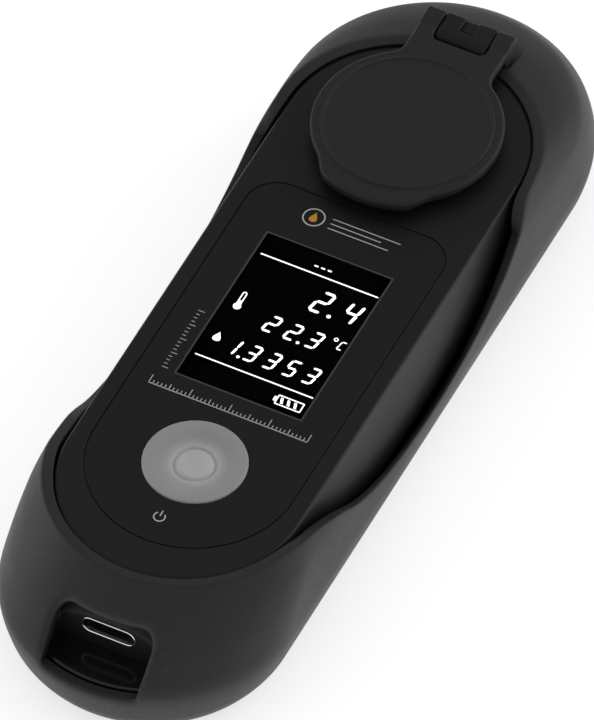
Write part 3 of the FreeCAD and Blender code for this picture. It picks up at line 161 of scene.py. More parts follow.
class Stations:
    """Places round a stadium outline, anticlockwise from the middle of its low end. Near the middle of
    each end a station keeps a fixed distance from the long axis at every height, so that walls, windows and
    notches there come out upright; elsewhere stations share out the end's arc and the straight sides."""

    def __init__(self, fixed, arc_count=30, side_count=150):
        fixed = np.asarray(fixed, float)
        self.edge = fixed[-1]
        share = np.arange(1, arc_count) / arc_count
        side = np.arange(side_count + 1) / side_count
        kinds, values = [], []
        for kind, value in (("low_fixed", fixed), ("low_arc", share), ("right", side),
                            ("high_arc", share[::-1]), ("high_fixed", fixed[::-1])):
            kinds += [kind] * len(value)
            values.append(value)
        values = np.concatenate(values)
        inner = slice(1, len(values) - 1)
        self.kind = np.array(kinds + kinds[inner][::-1])
        self.value = np.concatenate([values, values[inner][::-1]])
        self.side = np.concatenate([np.ones(len(values)), -np.ones(len(values) - 2)])
        self.count = len(self.kind)

    def points(self, half_width, low, high):
        """x and y of each station: on an end, the arc point at the station's fixed x or its share of the arc
        left over; on a side, the share of the straight run. The arguments may have one value per station."""
        half_width, low, high = (np.broadcast_to(v, self.count) for v in (half_width, low, high))
        bend = np.arcsin(np.clip(self.edge / half_width, -1, 1))
        angle = np.where(np.char.endswith(self.kind, "fixed"),
                         np.arcsin(np.clip(self.value / half_width, -1, 1)),
                         bend + self.value * (math.pi / 2 - bend))
        x = half_width * np.sin(angle)
        reach = half_width * np.cos(angle)
        low_centre, high_centre = -(low - half_width), high - half_width
        on_low = np.char.startswith(self.kind, "low")
        on_high = np.char.startswith(self.kind, "high")
        y = np.where(on_low, low_centre - reach, high_centre + reach)
        run = low_centre + self.value * (high_centre - low_centre)
        y = np.where(on_low | on_high, y, run)
        x = np.where(on_low | on_high, x, half_width)
        return x * self.side, y

    def ring(self, sizes, z, grow=0.0):
        """The outline at sizes (half width, reaches), grown outwards, as 3-D points at height z."""
        x, y = self.points(sizes[..., 0] + grow, sizes[..., 1] + grow, sizes[..., 2] + grow)
        return np.stack([x, y, np.broadcast_to(z, self.count)], axis=-1)


def arc_points(cx, cy, radius, start, stop, count):
    """count points along a circle's arc from the angle start to stop, in degrees."""
    angle = np.radians(np.linspace(start, stop, count))
    return np.stack([cx + radius * np.cos(angle), cy + radius * np.sin(angle)], axis=-1)


def circle(cx, cy, radius, count=96):
    """A closed circle, anticlockwise."""
    return arc_points(cx, cy, radius, 0, 360 * (1 - 1 / count), count)


def rounded(corners, radii, count=8):
    """A closed polygon with each corner rounded: the corner's circle touches both of its sides, and the
    points run along that circle from one touching point to the other."""
    corners = np.asarray(corners, float)
    radii = np.broadcast_to(np.asarray(radii, float), len(corners))
    runs = []
    for place, radius in enumerate(radii):
        corner = corners[place]
        before = corners[place - 1] - corner
        after = corners[(place + 1) % len(corners)] - corner
        before, after = before / np.linalg.norm(before), after / np.linalg.norm(after)
        if radius <= 0:
            runs.append(corner[None])
            continue
        half = math.acos(np.clip(before @ after, -1, 1)) / 2
        middle = (before + after) / np.linalg.norm(before + after)
        centre = corner + middle * radius / math.sin(half)
        first = corner + before * radius / math.tan(half) - centre
        last = corner + after * radius / math.tan(half) - centre
        turn = math.atan2(first[0] * last[1] - first[1] * last[0], first @ last)
        base = math.atan2(first[1], first[0])
        angle = base + np.linspace(0, turn, count)
        runs.append(centre + radius * np.stack([np.cos(angle), np.sin(angle)], axis=-1))
    return np.vstack(runs)


def box_loop(x0, y0, x1, y1, radius=0.0, count=6):
    """A closed rectangle with rounded corners, anticlockwise."""
    return rounded([(x0, y0), (x1, y0), (x1, y1), (x0, y1)], radius, count)


def finer(loop, step):
    """The same closed outline with extra points, so that no run is longer than step."""
    out = []
    for start, stop in zip(loop, np.roll(loop, -1, axis=0)):
        pieces = max(1, math.ceil(np.linalg.norm(stop - start) / step))
        out.append(start + (stop - start) * (np.arange(pieces) / pieces)[:, None])
    return np.vstack(out)


def swell(loop, distance):
    """A closed anticlockwise outline moved outwards by distance, each point along the bisector of the
    sides beside it, far enough that the sides themselves move by distance."""
    ahead = np.roll(loop, -1, axis=0) - loop
    ahead /= np.maximum(np.linalg.norm(ahead, axis=1), 1e-12)[:, None]
    behind = np.roll(ahead, 1, axis=0)
    normal_a = np.stack([ahead[:, 1], -ahead[:, 0]], axis=-1)
    normal_b = np.stack([behind[:, 1], -behind[:, 0]], axis=-1)
    total = normal_a + normal_b
    scale = 2 / np.maximum((total**2).sum(axis=1), 0.5)
    return loop + total * (distance * scale)[:, None]


def inside(points, loop):
    """Even-odd test: how many of the outline's sides a ray towards +X from each point crosses."""
    x, y = points[:, None, 0], points[:, None, 1]
    ax, ay = loop[None, :, 0], loop[None, :, 1]
    bx, by = np.roll(ax, -1, axis=1), np.roll(ay, -1, axis=1)
    straddle = (ay > y) != (by > y)
    with np.errstate(divide="ignore", invalid="ignore"):
        cross = ax + (y - ay) * (bx - ax) / (by - ay)
    return (straddle & (x < cross)).sum(axis=1) % 2 == 1


# ---- meshes ----

class Form:
    """Collects surface patches in millimetres, then joins them into one mesh."""

    def __init__(self):
        self.points = []
        self.faces = []
        self.total = 0

    def add(self, points, faces):
        """Takes in a patch: its points, and faces that count them from 0."""
        self.points.append(points)
        self.faces += [tuple(int(i) + self.total for i in face) for face in faces]
        self.total += len(points)

    def join(self, other):
        """Takes in every patch of another form."""
        self.add(np.vstack(other.points), other.faces)

    def sheet(self, grid):
        """A patch from a grid of points: rows run along the surface, columns round it. Neighbouring rows and
        columns are joined by four-sided faces, and the last column joins the first."""
        rows, columns = grid.shape[:2]
        r = np.arange(rows - 1)[:, None]
        c = np.arange(columns)[None, :]
        n = (c + 1) % columns
        quads = np.stack([r * columns + c, r * columns + n, (r + 1) * columns + n, (r + 1) * columns + c], -1)
        self.add(grid.reshape(-1, 3), quads.reshape(-1, 4))

    def fan(self, ring, centre):
        """Closes a ring of points with triangles to one centre point."""
        count = len(ring)
        turn = np.arange(count)
        faces = np.stack([turn, (turn + 1) % count, np.full(count, count)], -1)
        self.add(np.vstack([ring, [centre]]), faces)

    def plate(self, outer, holes, z):
        """A flat patch at height z between an outline and the outlines of its holes: the triangles of the
        outlines' points whose middles are inside the outer outline and outside every hole."""
        loops = [np.asarray(loop) for loop in (outer, *holes)]
        points = np.vstack(loops)
        edges, start = [], 0
        for loop in loops:
            turn = np.arange(len(loop))
            edges += list(zip(turn + start, np.roll(turn, -1) + start))
            start += len(loop)
        corners, _, faces, *_ = delaunay_2d_cdt([Vector(p) for p in points],
                                                [(int(a), int(b)) for a, b in edges], [], 0, 1e-6)
        corners = np.array([tuple(c) for c in corners])
        faces = np.array([tuple(face) for face in faces])
        middle = corners[faces].mean(axis=1)
        keep = inside(middle, loops[0])
        for loop in loops[1:]:
            keep &= ~inside(middle, loop)
        self.add(np.column_stack([corners, np.full(len(corners), z)]), faces[keep])

    def wall(self, loops, levels):
        """A wall through outlines of one point count, each at its own height."""
        grid = np.stack([np.column_stack([loop, np.full(len(loop), z)]) for loop, z in zip(loops, levels)])
        self.sheet(grid)

    def slab(self, outer, holes=(), low=0.0, high=1.0, top=0.0, bottom=0.0, count=5):
        """A closed plate with rounded edges: along every outline the edge is a quarter circle of radius top
        or bottom, so it starts flat, inset by the radius, and ends upright."""
        plates = {high: [], low: []}
        for loop, sign in [(outer, -1.0)] + [(hole, 1.0) for hole in holes]:
            turn = np.linspace(0, math.pi / 2, count)
            rows, levels = [], []
            for angle in turn:
                rows.append(swell(loop, sign * top * (1 - math.sin(angle))))
                levels.append(high - top * (1 - math.cos(angle)))
            for angle in turn[::-1]:
                rows.append(swell(loop, sign * bottom * (1 - math.sin(angle))))
                levels.append(low + bottom * (1 - math.cos(angle)))
            self.wall(rows, levels)
            plates[high].append(rows[0])
            plates[low].append(rows[-1])
        for level, loops in plates.items():
            self.plate(loops[0], loops[1:], level)

    def revolve(self, profile, centre, count):
        """A surface of revolution: each profile point (radius, height) is carried round the upright axis
        through centre. Points of zero radius become one pole."""
        profile = np.asarray(profile, float)
        turn = np.linspace(0, 2 * math.pi, count, endpoint=False)
        radius, height = profile[:, 0, None], profile[:, 1, None]
        across = np.broadcast_to(radius * np.cos(turn), (len(profile), count))
        along = np.broadcast_to(radius * np.sin(turn), (len(profile), count))
        rise = np.broadcast_to(height, (len(profile), count))
        self.sheet(np.stack((across, along, rise), axis=-1) + np.asarray(centre, float))

    def turned(self, order):
        """Swaps the axes of every patch so far, so that a slab can stand on edge."""
        self.points = [p[:, order] for p in self.points]

    def make(self, name, body, material, slot, replaced=(), angle=FLAT_ANGLE):
        """Joins the patches, welds their seams, faces them outwards and hands the piece to the frame."""
        mesh = bpy.data.meshes.new(name)
        mesh.from_pydata(np.vstack(self.points) * MM, [], self.faces)
        work = bmesh.new()
        work.from_mesh(mesh)
        bmesh.ops.remove_doubles(work, verts=work.verts, dist=2e-6)
        bmesh.ops.dissolve_degenerate(work, edges=work.edges, dist=1e-7)
        bmesh.ops.recalc_face_normals(work, faces=work.faces)
        work.to_mesh(mesh)
        work.free()
        return place(name, mesh, body, material, slot, replaced, angle)


def place(name, mesh, body, material, slot, replaced=(), angle=FLAT_ANGLE):
    """Makes the object of a finished mesh: smooth, crisp past angle, riding on its body."""
    mesh.polygons.foreach_set("use_smooth", np.ones(len(mesh.polygons), bool))
    mesh.set_sharp_from_angle(angle=angle)
    mesh.materials.append(material)
    piece = bpy.data.objects.new(name, mesh)
    bpy.context.scene.collection.objects.link(piece)
    shade = piece.modifiers.new("even_flats", "WEIGHTED_NORMAL")
    shade.keep_sharp = True
    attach(piece, body)
    if replaced:
        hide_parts(*replaced)
    return piece


# ---- shader effects shared by several finishes ----

def new_group(name, inputs, outputs):
    """A shader node group with named inputs (name, kind, default) and outputs (name, kind)."""
    tree = bpy.data.node_groups.new(name, "ShaderNodeTree")
    for label, kind, default in inputs:
        socket = tree.interface.new_socket(label, in_out="INPUT", socket_type=kind)
        socket.default_value = default
    for label, kind in outputs:
        tree.interface.new_socket(label, in_out="OUTPUT", socket_type=kind)
    return tree, tree.nodes.new("NodeGroupInput"), tree.nodes.new("NodeGroupOutput")


def node(tree, kind, label="", **values):
    """Adds a shader node and sets the properties given by name."""
    made = tree.nodes.new("ShaderNode" + kind)
    made.label = label
    for key, value in values.items():
        setattr(made, key, value)
    return made


def link(tree, source, target):
    """Joins two sockets, or sets a target socket to a plain number or colour."""
    if isinstance(source, bpy.types.NodeSocket):
        tree.links.new(source, target)
    else:
        target.default_value = source


def maths(tree, operation, first, second, third=None):
    """One Math node and its output."""
    made = node(tree, "Math", operation=operation)
    link(tree, first, made.inputs[0])
    link(tree, second, made.inputs[1])
    if third is not None:
        link(tree, third, made.inputs[2])
    return made.outputs[0]


def mapped(tree, value, low, high, out_low, out_high):
    """Maps a value smoothly from the range low-high to out_low-out_high."""
    made = node(tree, "MapRange", interpolation_type="SMOOTHSTEP")
    for socket, number in zip(made.inputs[:5], (value, low, high, out_low, out_high)):
        link(tree, number, socket)
    return made.outputs[0]


def noise(tree, vector, scale, detail=3.0, roughness=0.55):
    """A noise texture's value; scale counts per metre."""
    made = node(tree, "TexNoise")
    link(tree, vector, made.inputs["Vector"])
    link(tree, scale, made.inputs["Scale"])
    made.inputs["Detail"].default_value = detail
    made.inputs["Roughness"].default_value = roughness
    return made.outputs["Fac"]


def make_grain_group():
    """Moulded skin: fine pebbles of one size over a finer noise, with a faint unevenness in gloss.
    Height is for a Bump node; Gloss is a value about 0.5 for roughness; Patches are broad soft areas."""
    tree, entry, leave = new_group(
        "moulded_grain",
        [("Vector", "NodeSocketVector", (0, 0, 0)), ("Pebbles", "NodeSocketFloat", 2500.0),
         ("Patch Scale", "NodeSocketFloat", 40.0)],
        [("Height", "NodeSocketFloat"), ("Gloss", "NodeSocketFloat"), ("Patches", "NodeSocketFloat")])
    vector = entry.outputs["Vector"]
    cells = node(tree, "TexVoronoi", feature="SMOOTH_F1")
    link(tree, vector, cells.inputs["Vector"])
    link(tree, entry.outputs["Pebbles"], cells.inputs["Scale"])
    fine = noise(tree, vector, maths(tree, "MULTIPLY", entry.outputs["Pebbles"], 1.7))
    height = maths(tree, "MULTIPLY_ADD", fine, 0.6, maths(tree, "MULTIPLY", cells.outputs["Distance"], 0.7))
    patches = noise(tree, vector, entry.outputs["Patch Scale"], 4.0, 0.6)
    gloss = maths(tree, "MULTIPLY_ADD", fine, 0.35, maths(tree, "MULTIPLY", patches, 0.65))
    link(tree, height, leave.inputs["Height"])
    link(tree, gloss, leave.inputs["Gloss"])
    link(tree, mapped(tree, patches, 0.35, 0.68, 0.0, 1.0), leave.inputs["Patches"])
    return tree


def make_dust_group():
    """Handling marks: pale dust, which is fine noise broken up by coarse noise, and short scuffs, which are
    stretched noise cut to its highest part. Dust and Scuffs are masks from 0 to 1."""
    tree, entry, leave = new_group(
        "dust_and_scuffs",
        [("Vector", "NodeSocketVector", (0, 0, 0)), ("Amount", "NodeSocketFloat", 0.5)],
        [("Dust", "NodeSocketFloat"), ("Scuffs", "NodeSocketFloat")])
    vector = entry.outputs["Vector"]
    speck = noise(tree, vector, 900.0, 5.0, 0.7)
    cloud = noise(tree, vector, 55.0, 3.0)
    mask = maths(tree, "MULTIPLY", mapped(tree, speck, 0.5, 0.78, 0.0, 1.0),
                 mapped(tree, cloud, 0.42, 0.7, 0.1, 1.0))
    link(tree, maths(tree, "MULTIPLY", mask, entry.outputs["Amount"]), leave.inputs["Dust"])
    stretch = node(tree, "Mapping")
    link(tree, vector, stretch.inputs["Vector"])
    stretch.inputs["Rotation"].default_value = (0.3, 0.2, 0.9)
    stretch.inputs["Scale"].default_value = (1.0, 14.0, 4.0)
    streak = noise(tree, stretch.outputs[0], 130.0, 4.0, 0.6)
    link(tree, maths(tree, "MULTIPLY", mapped(tree, streak, 0.66, 0.78, 0.0, 1.0), entry.outputs["Amount"]),
         leave.inputs["Scuffs"])
    return tree


def make_brush_group():
    """Turned or drawn metal: noise stretched along one axis by the Mapping given in its own scale."""
    tree, entry, leave = new_group(
        "drawn_metal",
        [("Vector", "NodeSocketVector", (0, 0, 0)), ("Stretch", "NodeSocketVector", (1, 1, 1))],
        [("Height", "NodeSocketFloat"), ("Gloss", "NodeSocketFloat")])
    across = node(tree, "VectorMath", operation="MULTIPLY")
    link(tree, entry.outputs["Vector"], across.inputs[0])
    link(tree, entry.outputs["Stretch"], across.inputs[1])
    lines = noise(tree, across.outputs[0], 900.0, 4.0, 0.6)
    link(tree, lines, leave.inputs["Height"])
    link(tree, mapped(tree, lines, 0.3, 0.7, 0.0, 1.0), leave.inputs["Gloss"])
    return tree


GRAIN = make_grain_group()
DUST = make_dust_group()
BRUSH = make_brush_group()


class Finish:
    """A material with a Principled shader, and helpers that wire the shared effects into it."""

    def __init__(self, name, colour, roughness, **constants):
        self.material = bpy.data.materials.new(name)
        self.material.use_nodes = True
        self.tree = self.material.node_tree
        self.shader = self.tree.nodes["Principled BSDF"]
        self.place = self.tree.nodes.new("ShaderNodeTexCoord").outputs["Object"]
        self.colour = colour
        self.shader.inputs["Base Color"].default_value = (*colour, 1.0)
        self.shader.inputs["Roughness"].default_value = roughness
        for key, value in constants.items():
            self.shader.inputs[key.replace("_", " ")].default_value = value

    def effect(self, group, **values):
        """Places a shared group, fed with Object coordinates and its own values."""
        made = self.tree.nodes.new("ShaderNodeGroup")
        made.node_tree = group
        link(self.tree, self.place, made.inputs["Vector"])
        for key, value in values.items():
            made.inputs[key.replace("_", " ")].default_value = value
        return made.outputs

    def tint(self, mask, other, base=None):
        """Mixes the base colour, or an earlier mix, towards another colour by a mask."""
        mix = node(self.tree, "Mix", data_type="RGBA")
        link(self.tree, mask, mix.inputs[0])
        link(self.tree, base if base is not None else (*self.colour, 1.0), mix.inputs[6])
        link(self.tree, (*other, 1.0), mix.inputs[7])
        link(self.tree, mix.outputs[2], self.shader.inputs["Base Color"])
        return mix.outputs[2]

    def roughen(self, value, low, high):
        """Roughness from low to high as a value goes from 0 to 1."""
        link(self.tree, mapped(self.tree, value, 0.2, 0.8, low, high), self.shader.inputs["Roughness"])

    def bump(self, height, depth_mm):
        """Bump of a given depth in millimetres."""
        made = node(self.tree, "Bump")
        made.inputs["Strength"].default_value = 1.0
        made.inputs["Distance"].default_value = depth_mm * MM
        link(self.tree, height, made.inputs["Height"])
        link(self.tree, made.outputs["Normal"], self.shader.inputs["Normal"])


def moulded(name, colour, worn, low, high, pebbles, depth, dust=0.4, patch_scale=40.0, **constants):
    """A moulded plastic or rubber: grain in the surface, uneven gloss, broad tone patches, dust, scuffs."""
    finish = Finish(name, colour, (low + high) / 2, **constants)
    grain = finish.effect(GRAIN, Pebbles=pebbles, Patch_Scale=patch_scale)
    dusty = finish.effect(DUST, Amount=dust)
    base = finish.tint(maths(finish.tree, "MULTIPLY", grain["Patches"], 0.6), worn)
    pale = tuple(min(1.0, c * 2.2 + 0.05) for c in worn)
    base = finish.tint(maths(finish.tree, "MULTIPLY", dusty["Dust"], 0.35), pale, base)
    finish.tint(maths(finish.tree, "MULTIPLY", dusty["Scuffs"], 0.3), worn, base)
    finish.roughen(grain["Gloss"], low, high)
    finish.bump(grain["Height"], depth)
    return finish.material


def metal(name, colour, low, high, stretch):
    """A bright metal with the lines of its drawing or turning."""
    finish = Finish(name, colour, (low + high) / 2, Metallic=1.0)
    brush = finish.effect(BRUSH, Stretch=stretch)
    finish.tint(maths(finish.tree, "MULTIPLY", brush["Gloss"], 0.35), tuple(c * 0.8 for c in colour))
    finish.roughen(brush["Gloss"], low, high)
    finish.bump(brush["Height"], 0.002)
    return finish.material


def make_silicone():
    """Milky grey silicone that lets light in a little, with soft clouding, a satin skin and a painted glow: the grey
    is tinted paler round the nub, for light shining through the dome.
    """
    finish = Finish("button_silicone", (0.40, 0.40, 0.405), 0.42, Subsurface_Weight=0.55,
                    Subsurface_Scale=0.0012, Specular_IOR_Level=0.35, Coat_Weight=0.12, Coat_Roughness=0.35)
    finish.shader.inputs["Subsurface Radius"].default_value = (1.0, 0.95, 0.9)
    grain = finish.effect(GRAIN, Pebbles=3200.0, Patch_Scale=120.0)
    dusty = finish.effect(DUST, Amount=0.35)
    # painted light: near the nub the cap is tinted paler, fading out by 5.4 mm from its middle, a painted glow
    # standing in for light shining through the dome
    away = node(finish.tree, "VectorMath", "distance from the nub", operation="DISTANCE")
    link(finish.tree, finish.place, away.inputs[0])
    link(finish.tree, (0.0, BUTTON_Y * MM, FACE * MM), away.inputs[1])
    painted_glow = mapped(finish.tree, away.outputs["Value"], 2.4 * MM, 5.4 * MM, 0.85, 0.0)
    base = finish.tint(painted_glow, (0.66, 0.66, 0.66))
    base = finish.tint(maths(finish.tree, "MULTIPLY", grain["Patches"], 0.35), (0.35, 0.35, 0.355), base)
    finish.tint(dusty["Dust"], (0.52, 0.52, 0.52), base)
    finish.roughen(grain["Gloss"], 0.36, 0.5)
    finish.bump(grain["Height"], 0.004)
    return finish.material


def make_clear(name, tone, ior, roughness, specular=0.5):
    """Clear glass or acrylic with faint smears that only change its gloss."""
    finish = Finish(name, tone, roughness, IOR=ior, Transmission_Weight=1.0, Specular_IOR_Level=specular)
    cloud = noise(finish.tree, finish.place, 90.0, 4.0, 0.6)
    finish.roughen(cloud, roughness, roughness + 0.008)
    return finish.material


def make_glow(name, colour, strength):
    """A lit display segment: white with a slight fall in brightness from place to place."""
    finish = Finish(name, colour, 0.5, Emission_Strength=strength, Specular_IOR_Level=0.0)
    cloud = noise(finish.tree, finish.place, 160.0, 2.0)
    mix = finish.tint(mapped(finish.tree, cloud, 0.3, 0.7, 0.0, 1.0), tuple(c * 0.93 for c in colour))
    link(finish.tree, mix, finish.shader.inputs["Emission Color"])
    return finish.material


def make_board_green():
    """Circuit board: green lacquer over copper traces, which are a square lattice broken up by noise."""
    finish = Finish("board_green", (0.012, 0.11, 0.035), 0.3, Coat_Weight=0.4, Coat_Roughness=0.15)
    brick = node(finish.tree, "TexBrick", offset=0.5)
    link(finish.tree, finish.place, brick.inputs["Vector"])
    brick.inputs["Scale"].default_value = 320.0
    brick.inputs["Mortar Size"].default_value = 0.06
    cloud = noise(finish.tree, finish.place, 300.0, 3.0)
    traces = maths(finish.tree, "MULTIPLY", brick.outputs["Fac"], mapped(finish.tree, cloud, 0.45, 0.55, 0.0, 1.0))
    finish.tint(traces, (0.05, 0.24, 0.08))
    finish.bump(traces, 0.03)
    return finish.material


BLACK = (0.0105, 0.0105, 0.011)
# By slot: what moulded() takes after the name, in its order, and then what it takes by keyword
MOULDED = {
    "sleeve_rubber": ((0.0125, 0.0125, 0.013), (0.024, 0.024, 0.025),
        0.40, 0.62, 1500.0, 0.012, dict(dust=0.55, patch_scale=32.0, Specular_IOR_Level=0.42)),
    "lid_rubber": ((0.0152, 0.0152, 0.0157), (0.0190, 0.0190, 0.0196),
        0.48, 0.62, 2600.0, 0.006, dict(dust=0.35, Specular_IOR_Level=0.32)),
    "case_plastic": ((0.0062, 0.0062, 0.0064), (0.0085, 0.0085, 0.0088),
        0.40, 0.54, 3400.0, 0.005, dict(dust=0.2, Specular_IOR_Level=0.28)),
    "case_gloss": ((0.006, 0.006, 0.0062), (0.009, 0.009, 0.009),
        0.1, 0.2, 3400.0, 0.001, dict(dust=0.15, Specular_IOR_Level=0.5)),
    "label_film": ((0.0066, 0.0066, 0.0068), (0.0080, 0.0080, 0.0083),
        0.40, 0.5, 4200.0, 0.003, dict(dust=0.12, patch_scale=22.0, Specular_IOR_Level=0.24)),
    "display_black": ((0.001, 0.001, 0.0012), (0.0014, 0.0014, 0.0016),
        0.35, 0.45, 5000.0, 0.0005, dict(dust=0.0, Specular_IOR_Level=0.05)),
    "diffuser_white": ((0.75, 0.76, 0.76), (0.68, 0.69, 0.69), 0.35, 0.5, 3000.0, 0.003, dict()),
    "holder_plastic": ((0.05, 0.05, 0.052), (0.07, 0.07, 0.072), 0.4, 0.55, 3000.0, 0.006, dict()),
    "flex_amber": ((0.42, 0.17, 0.03), (0.32, 0.12, 0.02), 0.25, 0.4, 2500.0, 0.003, dict()),
    "switch_black": (BLACK, (0.02, 0.02, 0.02), 0.35, 0.5, 3000.0, 0.005, dict()),
    "chip_black": ((0.018, 0.018, 0.02), (0.03, 0.03, 0.032), 0.45, 0.65, 5000.0, 0.006, dict()),
    "battery_foil": ((0.45, 0.46, 0.47), (0.36, 0.37, 0.38), 0.25, 0.42, 700.0, 0.03, dict(Metallic=0.85)),
    "foam_pad": ((0.03, 0.03, 0.032), (0.05, 0.05, 0.052), 0.8, 0.95, 1600.0, 0.12, dict()),
    "plug_white": ((0.72, 0.7, 0.64), (0.6, 0.58, 0.52), 0.35, 0.5, 3000.0, 0.004, dict()),
    "lead_red": ((0.5, 0.015, 0.012), (0.38, 0.012, 0.01), 0.35, 0.5, 2600.0, 0.004, dict()),
    "lead_black": (BLACK, (0.02, 0.02, 0.02), 0.35, 0.5, 2600.0, 0.004, dict()),
    "tongue_black": ((0.02, 0.02, 0.021), (0.03, 0.03, 0.03), 0.3, 0.45, 3000.0, 0.004, dict()),
    "seal_rubber": ((0.02, 0.02, 0.021), (0.03, 0.03, 0.031), 0.55, 0.7, 2400.0, 0.006, dict()),
    "block_black": (BLACK, (0.02, 0.02, 0.02), 0.6, 0.75, 3000.0, 0.008, dict()),
    "thermistor_epoxy": ((0.02, 0.03, 0.06), (0.03, 0.04, 0.08), 0.2, 0.35, 1800.0, 0.01, dict()),
}


def make_finishes():
    """Every finish by its slot's name."""
    finishes = {slot: moulded(slot, *row, **rest) for slot, (*row, rest) in MOULDED.items()}
    finishes.update({
        "window_glass": make_clear("window_glass", (0.97, 0.97, 0.98), 1.1, 0.0, 0.08),
        "board_green": make_board_green(),
        "port_steel": metal("port_steel", (0.80, 0.80, 0.79), 0.12, 0.24, (0.15, 1.0, 1.0)),
        "well_steel": metal("well_steel", (0.62, 0.61, 0.59), 0.16, 0.3, (1.0, 1.0, 0.1)),
        "optical_glass": make_clear("optical_glass", (0.96, 0.98, 0.99), 1.62, 0.0),
        "lamp_epoxy": make_clear("lamp_epoxy", (0.98, 0.93, 0.7), 1.5, 0.05),
        "pin_steel": metal("pin_steel", (0.6, 0.6, 0.59), 0.2, 0.35, (0.1, 1.0, 1.0)),
        "screw_steel": metal("screw_steel", (0.55, 0.55, 0.54), 0.25, 0.4, (1.0, 1.0, 0.2)),
        "button_silicone": make_silicone(),
    })
    return finishes


FINISH = make_finishes()
WHITE_INK = moulded("white_ink", (0.62, 0.62, 0.61), (0.52, 0.52, 0.51), 0.4, 0.55, 3500.0, 0.002, dust=0.0)
AMBER_INK = moulded("amber_ink", (0.75, 0.34, 0.03), (0.62, 0.27, 0.02), 0.4, 0.55, 3500.0, 0.002, dust=0.0)
SEGMENT_GLOW = make_glow("segment_glow", (1.0, 1.0, 1.0), 1.1)


# ---- rubber sleeve ----

def dip(y):
    """How far the sleeve's rim drops at y: two equal arcs on each side of the middle, one hollow and one
    round, that meet without a kink, so the rim leaves the crest level and returns to it smoothly."""
    away = np.abs(y - DIP_Y)
    reach = np.where(y < DIP_Y, DIP_REACH_LOW, DIP_REACH_HIGH)
    turn = 2 * np.arctan(DIP_DEPTH / reach)
    radius = reach / 2 / np.sin(turn)
    hollow = DIP_DEPTH - radius + np.sqrt(np.maximum(radius**2 - away**2, 0))
    left = np.clip(reach - away, 0, reach)
    shoulder = radius - np.sqrt(np.maximum(radius**2 - left**2, 0))
    return np.where(away < reach / 2, hollow, shoulder)


def soften(before, corner, after, count=5):
    """A quadratic curve from before to after, pulled towards a corner point."""
    s = np.linspace(0, 1, count)[:, None, None]
    return (1 - s) ** 2 * before + 2 * s * (1 - s) * corner + s**2 * after


def steps_with(marks, count, fine):
    """Even shares from 0 to 1, with each mark and closer steps of size fine beside it put in. Returns the
    shares and the rows of the marks."""
    offsets = fine * np.array([-5, -3.5, -2.3, -1.4, -0.7, 0, 0.7, 1.4, 2.3, 3.5, 5])
    near = np.concatenate([mark + offsets for mark in marks])
    even = np.linspace(0, 1, count + 1)
    even = even[np.min(np.abs(even[:, None] - np.array(marks)), axis=1) > fine * 6]
    shares = np.unique(np.concatenate([even, near[(near > 0) & (near < 1)]]))
    return shares, [int(np.argmin(np.abs(shares - mark))) for mark in marks]


def shape_window(grid, edge_of, outer_wall):
    """Shapes the port's window, a rectangle with round corners in the end view. Past each corner's centre
    the grid's square lines, at the distance m = max(across, rise), bend onto circles of radius m, and
    slide along the wall's slope; that fades out over fade. Then the wall near the edge sinks inwards by
    the height of a quarter circle of radius soft, so the edge turns in softly."""
    soft, fade, low, high = 1.25, 2.4, NOTCH_FLOOR, NOTCH_LIP
    middle, half = (low + high) / 2, (high - low) / 2

    def past_core(x, z):
        radius = np.where(z > middle, NOTCH_CORNER, NOTCH_CORNER_LOW)
        return radius, np.abs(x) - (NOTCH_HALF - radius), np.abs(z - middle) - (half - radius)

    x, y, z = (grid[..., axis].copy() for axis in range(3))
    radius, across, rise = past_core(x, z)
    square = np.maximum(across, rise)
    corner = (outer_wall | edge_of) & (across > 0) & (rise > 0)
    weight = np.where(corner, np.clip(1 - (square - radius) / fade, 0, 1), 0.0)
    pull = 1 + weight * (square / np.maximum(np.hypot(across, rise), 1e-9) - 1)
    new_x = np.where(corner, np.sign(x) * (NOTCH_HALF - radius + across * pull), x)
    new_z = np.where(corner, middle + np.sign(z - middle) * (half - radius + rise * pull), z)

    def slope(axis, along):
        step = np.gradient(along, axis=axis)
        return np.gradient(y, axis=axis) / np.where(np.abs(step) < 1e-6, 1.0, step)

    grid[..., 0], grid[..., 2] = new_x, new_z
    grid[..., 1] = np.where(corner, y + slope(1, x) * (new_x - x) + slope(0, z) * (new_z - z), y)
    radius, across, rise = past_core(grid[..., 0], grid[..., 2])
    distance = np.hypot(np.maximum(across, 0), np.maximum(rise, 0)) + np.minimum(np.maximum(across, rise), 0)
    distance = np.clip(distance - radius, 0, soft)
    sink = soft - np.sqrt(soft**2 - (soft - distance) ** 2)
    below = np.clip((middle - grid[..., 2]) / half, 0, 1)
    inwards, down = 0.8, 0.6     # about square to the sloping wall
    sink = np.where(outer_wall | edge_of, sink * (1 - 0.55 * below), 0.0)
    grid[..., 1] += inwards * sink
    grid[..., 2] -= down * sink * (1 - 1.2 * below)


